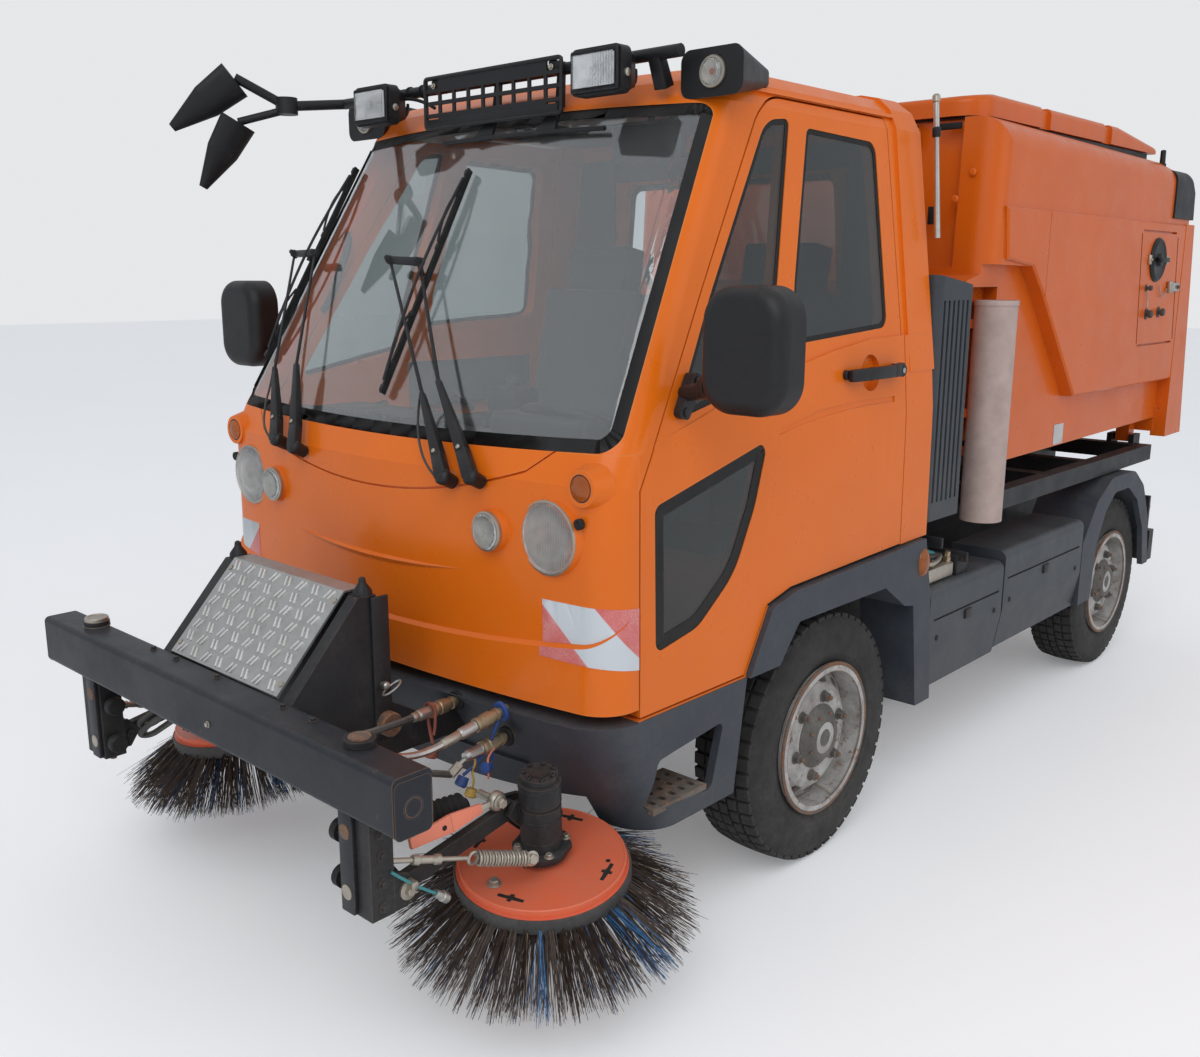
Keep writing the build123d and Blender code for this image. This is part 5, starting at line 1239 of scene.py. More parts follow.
def addWheelDetails(name, x, distance):
    centre = Vector((x, along(distance), wheels["height"]))
    outward = Vector((1, 0, 0))
    rim = spunForm([(0.2185, 0.1115), (0.2300, 0.1130), (0.2335, 0.1115), (0.2338, 0.1060), (0.2322, 0.1060),
                    (0.2185, 0.1118)], centre, outward, 64, "rustySteel")
    hub = turnedForm([(0.060, 0.098), (0.0835, 0.0985), (0.0840, 0.0965), (0.0955, 0.0815), (0.1095, 0.0665),
                      (0.1108, 0.062), (0.1104, 0.050), (0.1060, 0.047), (0.1060, 0.030), (0.1085, 0.026),
                      (0.1085, 0.001)], centre, outward, 40, "hubIron")
    parts = [rim, hub]
    for index in range(wheels["studs"]):
        angle = 2 * math.pi * index / wheels["studs"] + 0.3
        arm = Vector((0, math.cos(angle), math.sin(angle))) * wheels["studCircle"]
        place = centre + arm + outward * 0.079
        parts += [turnedForm([(0.0, 0.0185), (0.003, 0.0190), (0.0045, 0.0165)], place, outward, 18,
                             "hubIron"),
                  turnedForm([(0.004, 0.0155), (0.019, 0.0152), (0.021, 0.0125)], place, outward, 6,
                             "hubIron"),
                  turnedForm([(0.020, 0.0075), (0.030, 0.0075), (0.031, 0.006)], place, outward, 12,
                             "rustySteel")]
    parts.append(tubeForm([centre + Vector((0.052, 0.05, -0.185)), centre + Vector((0.085, 0.052, -0.19)),
                           centre + Vector((0.108, 0.054, -0.197))], 0.004, "zinc"))
    for index in range(8):
        angle = 2 * math.pi * (index + 0.5) / 8
        arm = Vector((0, math.cos(angle), math.sin(angle))) * 0.072
        parts.append(turnedForm([(0.0, 0.0058), (0.005, 0.0056), (0.006, 0.004)],
                                centre + arm + outward * 0.1025, Vector((1, 0.4 * math.cos(angle),
                0.4 * math.sin(angle))), 6, "rustySteel"))
    settleBoth(parts, "hub_" + name, "wheel_" + name, 35)


def addWheels():
    for name in ("front", "rear"):
        x, distance = wheels[name]
        addTyre(name, x, distance)
        addWheelDetails(name, x, distance)


# tread plate: pairs of raised bars up the slope
tread = {"half": 0.240, "low": (-1.490, 0.7805), "high": (-1.2925, 0.9945), "columns": 8, "rows": 8,
         "bar": 0.029}


def addTread():
    (lowD, lowZ), (highD, highZ) = tread["low"], tread["high"]
    low = Vector((0, along(lowD), lowZ))
    slope = Vector((0, along(highD), highZ)) - low
    up = slope.normalized()
    away = Vector((1, 0, 0)).cross(up).normalized()
    if away.z < 0:
        away = -away
    bar = boxForm((0.0060, tread["bar"], 0.0052), (0, 0, 0.0010), 0.0018, 0, 0, "treadAluminium")
    stand = Matrix((Vector((1, 0, 0)), up, away)).transposed().to_4x4()
    parts = []
    rows, columns = tread["rows"], tread["columns"]
    for row in range(rows):
        for column in range(columns):
            lean = 0.42 if (row + column) % 2 else -0.42
            across = -tread["half"] + tread["half"] * 2 * (column + 0.5) / columns
            climb = slope.length * (row + 0.55) / (rows + 0.1)
            for shift in (-0.0085, 0.0085):
                place = low + up * climb + Vector((across + shift, 0, 0))
                turn = Matrix.Translation(place) @ stand @ Matrix.Rotation(lean, 4, "Z")
                parts.append(copyPiece(bar, turn))
    bpy.data.objects.remove(bar)
    for x in (-0.236, 0.236):
        for climb in (0.03, slope.length - 0.03):
            parts.append(turnedForm([(0.0, 0.008), (0.002, 0.0078), (0.0034, 0.004)],
                                    low + up * climb + Vector((x, 0, 0)), away, 14, "zinc"))
    settle(joinPieces(parts), "treadBars", "chassis", 35)


# beam of the front tools: pin caps, end plates and bolts, and the lugs and pins of its carrier
beam = {"pinX": 0.612, "pinDistance": -1.52, "top": 0.777, "endX": 0.8055, "lugX": 0.281}


def addBeamDetails():
    parts = []
    upward, sideways = Vector((0, 0, 1)), Vector((1, 0, 0))
    for x, coat, size in ((-beam["pinX"], "zinc", 0.92), (beam["pinX"], "rustySteel", 0.72)):
        place = spot(x, beam["pinDistance"], beam["top"] + 0.0005)
        parts.append(turnedForm([(0.0, 0.038 * size), (0.003, 0.0385 * size), (0.0035, 0.035 * size),
                                 (0.026 * size, 0.0345 * size), (0.0285 * size, 0.0325 * size),
                                 (0.0285 * size, 0.024 * size), (0.0265 * size, 0.022 * size),
                                 (0.0265 * size, 0.001)], place, upward, 36, coat))
    for x in (-0.30, -0.18, 0.02, 0.31, 0.43):
        parts.append(boltForm(spot(x, -1.512, beam["top"]), upward, 0.0075, "frameBlack"))
    for sign in (1, -1):
        face = spot(sign * beam["endX"], -1.536, 0.705)
        ring = spunForm([(0.016, -0.004), (0.020, 0.0012), (0.024, 0.0005), (0.024, -0.004)], face,
                        sideways * sign, 28, "rustySteel")
        # the dark shallow disc inside the ring is painted shade standing in for the depth of the hole
        hole = turnedForm([(-0.003, 0.016), (-0.0004, 0.016), (-0.0002, 0.001)], face, sideways * sign, 24,
                          "sealRubber")
        parts += [ring, hole]
        plate = plateForm(roundedOutline(0.094, 0.124, 0.014), face - sideways * sign * 0.0006,
                          (0, 1, 0), (0, 0, 1), 0.0016 * sign, 0.0, "beamBlack")
        parts.append(plate)
    parts.append(boltForm((0.10, along(-1.5865), 0.70), (0, -1, 0), 0.006, "zinc"))
    settle(joinPieces(parts), "beamDetails", "chassis", 35)

    parts = []
    for x in (-beam["lugX"], beam["lugX"]):
        parts.append(turnedForm([(0.0, 0.024), (0.012, 0.023), (0.03, 0.010), (0.042, 0.008), (0.045, 0.004)],
                                (x, along(-1.262), 0.984), upward, 16, "frameBlack"))
        sign = 1 if x > 0 else -1
        parts += [boxForm((0.010, 0.050, 0.36), (x + sign * 0.023, along(-1.232), 0.80), 0.003, 0, 0,
                          "frameBlack"),
                  turnedForm([(0.0, 0.030), (0.004, 0.031), (0.030, 0.031), (0.034, 0.028)],
                             (x + sign * 0.018, along(-1.225), 0.655), sideways * sign, 24, "rustySteel")]
        ring = [Vector((x + sign * 0.052 + 0.012 * math.cos(a), along(-1.225) + 0.026 * math.sin(a),
                        0.752 + 0.012 * math.sin(a))) for a in [2 * math.pi * k / 20 for k in range(21)]]
        parts += [tubeForm(ring, 0.0026, "steel", False, 4),
                  turnedForm([(0.0, 0.007), (0.014, 0.007), (0.016, 0.010), (0.026, 0.010), (0.030, 0.006)],
                             (x + sign * 0.020, along(-1.235), 0.758), sideways * sign, 12, "steel")]
    edge = barForm((-0.262, along(-1.266), 0.979), (0.262, along(-1.266), 0.979), 0.012, 0.022,
                   finishName="frameBlack", upward=(0, 1, 0))
    parts.append(edge)
    settle(joinPieces(parts), "carrierDetails", "chassis", 35)


# hangers of the brushes: plates, buffers and bolts, and the hose loops below the right half of the beam
def addHangers():
    parts = []
    for z in (0.595, 0.545, 0.480, 0.425):
        parts.append(boltForm((0.6725, along(-1.520), z), (1, 0, 0), 0.009, "frameBlack"))
    for z in (0.560, 0.450):
        parts.append(turnedForm([(0.0, 0.016), (0.020, 0.016), (0.021, 0.026), (0.040, 0.026),
                                 (0.043, 0.022)], (0.566, along(-1.525), z), (-1, 0, 0), 20, "sealRubber"))
    parts += [plateForm([(-0.022, -0.118), (0.022, -0.118), (0.026, -0.09), (0.026, 0.09), (0.022, 0.118),
                         (-0.022, 0.118)], (0.60, along(-1.551), 0.52), (1, 0, 0), (0, 0, 1), 0.010, 0.002,
                        "beamBlack"),
              turnedForm([(0.0, 0.017), (0.012, 0.017), (0.013, 0.012)], (0.600, along(-1.5505), 0.590),
                         (0, -1, 0), 20, "rustySteel"),
              turnedForm([(0.0, 0.017), (0.012, 0.017), (0.013, 0.012)], (0.600, along(-1.5505), 0.450),
                         (0, -1, 0), 20, "zinc")]
    for x, z in ((0.585, 0.401), (0.640, 0.401)):
        parts.append(boltForm((x, along(-1.52), z), (0, 0, -1), 0.010, "rustySteel"))
    parts += [turnedForm([(0.0, 0.022), (0.006, 0.0225), (0.007, 0.016)], (0.670, along(-1.455), 0.440),
                         (1, 0, 0), 24, "zinc"),
              boltForm((0.676, along(-1.455), 0.440), (1, 0, 0), 0.011, "zinc")]
    settleBoth(parts, "hanger", "brush_bracket", 35)
    hoses = []
    for shift in (0.0, 0.030):
        hoses.append(tubeForm([(-0.16, along(-1.484), 0.700 - shift), (-0.26, along(-1.452), 0.655 - shift),
                               (-0.40, along(-1.470), 0.575 - shift), (-0.47, along(-1.484), 0.525 - shift),
                               (-0.500, along(-1.478), 0.500 - shift), (-0.490, along(-1.450), 0.495 - shift),
                               (-0.44, along(-1.436), 0.530 - shift), (-0.31, along(-1.425), 0.612 - shift),
                               (-0.18, along(-1.470), 0.668 - shift)], 0.0085, "hoseRubber"))
    for place in ((-0.16, 0.705), (-0.18, 0.650)):
        hoses.append(turnedForm([(0.0, 0.014), (0.016, 0.014), (0.018, 0.011), (0.030, 0.011)],
                                (place[0], along(-1.487), place[1]), (0, 1, 0), 6, "zinc"))
    hoses.append(boxForm((0.030, 0.060, 0.040), (-0.30, along(-1.458), 0.630), 0.004, 0, 0, "frameBlack"))
    settle(joinPieces(hoses), "hoseLoops", "chassis", 40)


# couplers in front of the bumper: each starts at its hole and runs forwards
couplers = {"upper": (0.510, -1.030, 0.682), "inner": (0.352, -1.040, 0.672), "lower": (0.500, -1.006, 0.606)}


def couplerForm(start, end, long, ringName):
    start, end = Vector(start), Vector(end)
    run = (end - start).normalized()
    rows = [(-0.02, 0.0125), (0.012, 0.0125), (0.013, 0.0165), (0.020, 0.0165), (0.021, 0.0145),
            (0.034, 0.0145), (0.036, 0.0185), (0.060, 0.0185), (0.062, 0.0165), (0.072, 0.0165),
            (0.074, 0.0185), (0.082, 0.0175)]
    parts = [turnedForm(rows, start, run, 24, "brass"),
             turnedForm([(-0.006, 0.026), (0.001, 0.026), (0.003, 0.024), (0.003, 0.018)], start, run, 28,
                        ringName)]
    place = start + run * 0.080
    knurl = [(0.0, 0.0135)]
    for step in range(6):
        knurl += [(0.004 + 0.008 * step, 0.0150), (0.008 + 0.008 * step, 0.0138)]
    parts += [turnedForm(knurl + [(0.056, 0.011)], place, run, 20, "steel"),
              turnedForm([(0.05, 0.0115), (0.052, 0.0125), (long, 0.0118), (long + 0.004, 0.0105)], place,
                         run, 16, "zinc")]
    return parts, place + run * (long + 0.002), run


def addCouplers():
    parts = []
    made, end, run = couplerForm(spot(*couplers["upper"]), spot(0.500, -1.228, 0.645), 0.10, "blueCap")
    parts += made
    parts.append(tubeForm([end, end + run * 0.05, (0.500, along(-1.34), 0.655), (0.500, along(-1.42), 0.690),
                           (0.500, along(-1.488), 0.705)], 0.0095, "steel"))
    made, end, run = couplerForm(spot(*couplers["inner"]), spot(0.360, -1.188, 0.670), 0.065, "sealRubber")
    parts += made
    parts.append(tubeForm([end, end + run * 0.06, (0.352, along(-1.36), 0.668), (0.345, along(-1.43), 0.690),
                           (0.340, along(-1.488), 0.700)], 0.0095, "hoseRubber"))
    made, end, run = couplerForm(spot(*couplers["lower"]), spot(0.500, -1.162, 0.592), 0.020, "sealRubber")
    parts += made
    parts.append(tubeForm([end - run * 0.01, end + run * 0.035, end + run * 0.05 + Vector((0, 0, -0.012))],
                          0.0055, "steel"))
    sleeve = end + run * 0.05 + Vector((0, 0, -0.012))
    parts += [tubeForm([sleeve, sleeve + Vector((0, -0.03, -0.018))], 0.0115, "zinc", False, 8),
              tubeForm([sleeve + Vector((0, -0.028, -0.017)), (0.490, along(-1.280), 0.598),
                        (0.478, along(-1.350), 0.612), (0.462, along(-1.420), 0.640),
                        (0.450, along(-1.488), 0.670)], 0.0090, "hoseRubber")]
    for x, z in ((0.500, 0.705), (0.340, 0.700), (0.450, 0.670)):
        parts.append(turnedForm([(-0.002, 0.016), (0.014, 0.016), (0.016, 0.012), (0.034, 0.012)],
                                (x, along(-1.486), z), (0, 1, 0), 6, "zinc"))
    settle(joinPieces(parts), "couplers", "chassis", 35)

    straps = [tubeForm([(0.517, along(-1.045), 0.664), (0.512, along(-1.062), 0.630),
                        (0.506, along(-1.060), 0.600), (0.503, along(-1.052), 0.560)], 0.0042, "blueCap"),
              turnedForm([(0.0, 0.012), (0.020, 0.015), (0.024, 0.015), (0.026, 0.011)],
                         (0.505, along(-1.066), 0.548), (0.2, -0.7, 0.1), 20, "blueCap"),
              tubeForm([(0.506, along(-1.090), 0.585), (0.496, along(-1.100), 0.560),
                        (0.492, along(-1.140), 0.545)], 0.0042, "blueCap"),
              turnedForm([(0.0, 0.014), (0.022, 0.016), (0.026, 0.012)], (0.492, along(-1.138), 0.540),
                         (0, -0.4, -0.6), 20, "blueCap"),
              tubeForm([(0.360, along(-1.130), 0.690), (0.350, along(-1.132), 0.655),
                        (0.356, along(-1.128), 0.610), (0.360, along(-1.126), 0.585)], 0.0045, "redStrap"),
              tubeForm([(0.372, along(-1.126), 0.690), (0.380, along(-1.128), 0.650),
                        (0.366, along(-1.126), 0.610)], 0.0040, "redStrap"),
              spunForm([(0.0165, -0.003), (0.0205, -0.003), (0.0205, 0.004), (0.0165, 0.004)],
                       (0.357, along(-1.128), 0.6735), (0.08, -1, -0.02), 24, "redStrap"),
              turnedForm([(0.0, 0.016), (0.022, 0.019), (0.027, 0.014)], (0.361, along(-1.128), 0.575),
                         (0, -0.3, -0.8), 20, "redStrap"),
              tubeForm([(0.500, along(-1.110), 0.590), (0.508, along(-1.112), 0.568),
                        (0.492, along(-1.114), 0.548), (0.506, along(-1.116), 0.524),
                        (0.500, along(-1.120), 0.505)], 0.0030, "yellowStrap"),
              turnedForm([(0.0, 0.013), (0.018, 0.016), (0.022, 0.012)], (0.500, along(-1.120), 0.505),
                         (0, -0.3, -0.8), 18, "yellowStrap"),
              tubeForm([(0.518, along(-1.060), 0.598), (0.505, along(-1.075), 0.575),
                        (0.520, along(-1.080), 0.550), (0.512, along(-1.078), 0.520)], 0.0028,
                       "leverPaint")]
    settle(joinPieces(straps), "couplerCaps", "chassis", 40)


# stripes at the front corners, bisected from copies of the fascia: where the band starts and ends along
# x + y, its top and bottom, how far it leans and how wide the white part is
stripes = {"start": -1.185, "end": -0.825, "top": 0.986, "low": 0.830, "lean": 0.50, "band": 0.50}


def addStripes():
    for side, sign in (("left", 1), ("right", -1)):
        decal = openCopy("cab_fascia")
        cuts = [((0, along(-1.0), 0.986), (0, -0.09, -1)), ((0, along(-1.0), 0.847), (0, 0.19, 1)),
                ((sign * 0.622, 0, 0), (sign, 0, 0))]
        for place, normal in cuts:
            bpy.ops.mesh.select_all(action="SELECT")
            bpy.ops.mesh.bisect(plane_co=place, plane_no=normal, clear_inner=True, clear_outer=False)
        pickFaces(decal, lambda c, n: (n.y > -0.05 and n.x * sign < 0.5) or n.x * sign < -0.3
                  or abs(n.z) > 0.75 or (c.y > along(-0.95) and abs(c.x) < 0.7))
        bpy.ops.mesh.delete(type="FACE")
        closeMesh()
        addModifier(decal, "SOLIDIFY", thickness=0.0011, offset=1.0)
        paint(decal, "warningStripes")
        settle(decal, "stripes_" + side, "chassis", 30)


# grey plastic band round the ring that holds the bristles
def addRingBands():
    axis = Vector(brush["axis"]).normalized()
    outline = [(0.2050, -0.0205), (0.2135, -0.0195), (0.2150, -0.023), (0.2150, -0.053), (0.2135, -0.0565),
               (0.130, -0.0570), (0.128, -0.0552), (0.200, -0.0552)]
    band = spunForm(outline, brush["centre"], axis, 72, "ringPlastic")
    settleBoth([band], "ringBand", "brush", 35)


# door handles, mirror glass and what belongs to the doors
door = {"handleFront": 0.030, "handleRear": 0.320, "handleHeight": 1.462, "handleX": 0.842, "mirrorX": 1.025}


def addDoorDetails():
    parts = []
    front, rear, height = door["handleFront"], door["handleRear"], door["handleHeight"]
    grip = barForm(spot(door["handleX"] - 0.020, front, height - 0.002), spot(door["handleX"] - 0.004,
            front + 0.07, height), 0.034, 0.020, 0.036, 0.022, (1, 0, 0), 0.005)
    middle = barForm(spot(door["handleX"] - 0.005, front + 0.066, height),
                     spot(door["handleX"] - 0.005, rear - 0.070, height + 0.001), 0.036, 0.022, 0.036,
                     0.022, (1, 0, 0), 0.005)
    back = barForm(spot(door["handleX"] - 0.004, rear - 0.074, height + 0.001),
                   spot(door["handleX"] - 0.018, rear, height + 0.002), 0.036, 0.022, 0.040, 0.026,
                   (1, 0, 0), 0.005)
    parts += [grip, middle, back]
    parts += [turnedForm([(-0.03, 0.019), (0.006, 0.019), (0.008, 0.017), (0.008, 0.010), (0.006, 0.009),
                          (0.006, 0.001)], spot(door["handleX"] - 0.008, rear - 0.018, height), (1, 0, 0),
                         24, "blackPlastic"),
              turnedForm([(0.005, 0.0085), (0.0092, 0.0085), (0.0095, 0.006), (0.0095, 0.0015)],
                         spot(door["handleX"] - 0.008, rear - 0.018, height), (1, 0, 0), 20, "steel"),
              turnedForm([(-0.03, 0.014), (0.0, 0.014), (0.002, 0.012)], spot(0.812, front + 0.006, height),
                         (1, 0, 0), 20, "blackPlastic")]
    settleBoth(parts, "doorHandle", "door", 35)

    parts = [plateForm(roundedOutline(0.196, 0.254, 0.062, 6), spot(door["mirrorX"], -0.7085, 1.574),
                       (1, 0, 0), (0, 0, 1), -0.003, 0.0, "mirrorGlass"),
             plateForm(roundedOutline(0.204, 0.262, 0.066, 6), spot(door["mirrorX"], -0.7105, 1.574),
                       (1, 0, 0), (0, 0, 1), -0.0018, 0.0, "sealRubber"),
             plateForm(roundedOutline(0.110, 0.004, 0.0018, 2), spot(door["mirrorX"], -0.7056, 1.505),
                       (1, 0, 0), (0, 0, 1), -0.0012, 0.0, "sealRubber"),
             turnedForm([(0.0, 0.028), (0.018, 0.030), (0.030, 0.027), (0.040, 0.022)],
                        spot(0.905, -0.722, 1.487), (-0.97, 0.35, -0.16), 24, "blackPlastic"),
             turnedForm([(0.0, 0.012), (0.004, 0.012), (0.005, 0.008)], spot(0.8225, -0.668, 1.492),
                        (1, 0, 0), 6, "blackPlastic"),
             turnedForm([(0.0, 0.012), (0.004, 0.012), (0.005, 0.008)], spot(0.8225, -0.708, 1.420),
                        (1, 0, 0), 6, "blackPlastic")]
    settleBoth(parts, "mirrorGlass", "door", 35)


# seats: cushion, back and headrest with crowned faces and seams
seat = {"x": 0.385, "width": 0.46}


def cushionForm(size, crown, place, lean, seams):
    clearPick()
    bpy.ops.mesh.primitive_cube_add(size=1, location=(0, 0, 0))
    piece = bpy.context.object
    piece.scale = size
    bpy.ops.object.transform_apply(location=False, rotation=False, scale=True)
    openMesh(piece, True)
    bpy.ops.mesh.subdivide(number_cuts=11)
    closeMesh()
    wide, long, tall = size
    for vertex in piece.data.vertices:
        x, y, z = vertex.co.x / wide * 2, vertex.co.y / long * 2, vertex.co.z / tall * 2
        crowned = max(0.0, 1 - x * x) * max(0.0, 1 - y * y)
        if z > 0:
            vertex.co.z += crown * (crowned ** 0.5) * z
            for line in seams:
                vertex.co.z -= 0.011 * math.exp(-((x - line) / 0.085) ** 2) * z
            vertex.co.z -= 0.008 * math.exp(-((abs(y) - 0.45) / 0.07) ** 2) * z * (1 if abs(x) < 0.62 else 0)
    addModifier(piece, "BEVEL", width=0.03, segments=3, limit_method="ANGLE", angle_limit=0.7)
    addModifier(piece, "SUBSURF", levels=1, render_levels=1)
    applyAll(piece)
    piece.matrix_world = Matrix.Translation(place) @ Matrix.Rotation(lean, 4, "X")
    applyAll(piece)
    return paint(piece, "seatCloth")


def addSeats():
    parts = []
    for sign in (1, -1):
        x = sign * seat["x"]
        cushion = cushionForm((seat["width"], 0.50, 0.13), 0.020, spot(x, -0.085, 1.115), -0.04,
                              (-0.56, 0.56))
        back = cushionForm((seat["width"] - 0.02, 0.62, 0.12), 0.018, spot(x, 0.250, 1.370),
                           math.radians(78), (-0.56, 0.56))
        rest = cushionForm((0.27, 0.17, 0.10), 0.012, spot(x, 0.335, 1.745), math.radians(80), ())
        side = "left" if sign > 0 else "right"
        for name, soft in (("seatCushion_", cushion), ("seatBack_", back), ("headRest_", rest)):
            settle(soft, name + side, "chassis", 60)
        base = boxForm((0.34, 0.34, 0.11), spot(x, -0.085, 1.000), 0.01, 0, 0, "blackPlastic")
        parts.append(base)
        for shift in (-0.05, 0.05):
            parts.append(tubeForm([spot(x + shift, 0.325, 1.62), spot(x + shift, 0.333, 1.72)], 0.006,
                                  "steel", False, 6))
        parts.append(boxForm((0.30, 0.46, 0.022), spot(x, -0.085, 1.052), 0.006, 0, 0, "blackPlastic"))
        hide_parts("seats")
    settle(joinPieces(parts), "seatBases", "chassis", 35)


# what shows through the windscreen: mirror, dash binnacle, vents, levers and grab handles
def addInside():
    parts = [boxForm((0.235, 0.030, 0.095), spot(0.470, -0.440, 2.072), 0.010, 0, 0, "blackPlastic"),
             tubeForm([spot(0.470, -0.430, 2.10), spot(0.475, -0.440, 2.15), spot(0.480, -0.425, 2.185)],
                      0.010, "blackPlastic"), boxForm((0.36, 0.16, 0.10), spot(0.385, -0.700, 1.330), 0.020,
                                                      0, 0, "blackPlastic", 3),
             boxForm((0.60, 0.20, 0.035), spot(-0.260, -0.735, 1.322), 0.014, 0, 0, "blackPlastic", 3),
             boxForm((0.20, 0.26, 0.16), spot(0.0, -0.470, 1.16), 0.020, 0, 0, "blackPlastic", 3),
             boxForm((0.12, 0.10, 0.07), spot(0.070, -0.560, 1.385), 0.010, 0, 0, "blackPlastic"),
             tubeForm([spot(0.02, -0.45, 1.22), spot(0.02, -0.47, 1.32), spot(0.015, -0.50, 1.40)], 0.009,
                      "blackPlastic"), turnedForm([(0.0, 0.012), (0.01, 0.022), (0.03, 0.026),
                                                   (0.045, 0.018)], spot(0.015, -0.50, 1.40), (0, -0.3, 1),
                                                  18, "blackPlastic")]
    for index in range(9):
        parts.append(boxForm((0.055, 0.004, 0.016), spot(-0.50 + 0.075 * index, -0.842, 1.337), 0.0015, 0,
                             0, "sealRubber"))
    for x in (-0.33, -0.18):
        parts.append(barForm(spot(x, -0.835, 1.326), spot(x + 0.10, -0.66, 1.332), 0.006, 0.004,
                             finishName="sealRubber"))
    for sign in (1, -1):
        parts += [tubeForm([spot(sign * 0.712, -0.545, 1.86), spot(sign * 0.690, -0.560, 1.835),
                            spot(sign * 0.694, -0.600, 1.74), spot(sign * 0.706, -0.640, 1.64),
                            spot(sign * 0.728, -0.650, 1.62)], 0.011, "blackPlastic"),
                  boxForm((0.34, 0.13, 0.02), spot(sign * 0.30, -0.415, 2.150), 0.006, 0, 0, "whitePlate")]
    settle(joinPieces(parts), "dashAndMirror", "chassis", 35)
    lining = [boxForm((1.24, 0.78, 0.012), spot(0, 0.06, 2.205), 0.004, 0, 0, "liningPlastic")]
    for size, place in (((0.22, 0.010, 1.12), (-0.600, 0.507, 1.600)), ((0.22, 0.010, 1.12),
            (0.600, 0.507, 1.600)), ((1.00, 0.010, 0.54), (0.0, 0.507, 1.275)),
            ((1.00, 0.010, 0.11), (0.0, 0.507, 2.125))):
        lining.append(boxForm(size, spot(*place), 0.004, 0.012, 0.002, "liningPlastic"))
    settle(joinPieces(lining), "cabLining", "chassis", 30)
    parts = [boxForm((0.010, 0.58, 0.42), spot(0.7635, 0.0, 1.020), 0.004, 0.02, 0.002, "blackPlastic"),
             boxForm((0.060, 0.30, 0.035), spot(0.735, 0.02, 1.215), 0.010, 0, 0, "blackPlastic"),
             boxForm((0.008, 0.58, 0.16), spot(0.7475, 0.0, 1.355), 0.003, 0.02, 0.002, "liningPlastic"),
             turnedForm([(0.0, 0.016), (0.010, 0.014), (0.012, 0.010), (0.020, 0.010)],
                        spot(0.745, -0.10, 1.300), (-1, 0, 0), 18, "blackPlastic"),
             barForm(spot(0.722, -0.10, 1.300), spot(0.722, -0.02, 1.250), 0.016, 0.010,
                     finishName="blackPlastic", upward=(-1, 0, 0))]
    settleBoth(parts, "doorLining", "door", 30)


# roof edge: bar, blank plate carrier with its openings, fins, lamps, pods, antenna
roof = {"bar": (-0.525, 2.268), "carrier": (0.556, 0.138), "carrierPlace": (0.0, -0.566, 2.221),
        "lampX": 0.455, "lampFront": -0.631, "lampHeight": 2.228, "pod": (0.700, -0.4765, 2.218),
        "podLamp": 0.036}


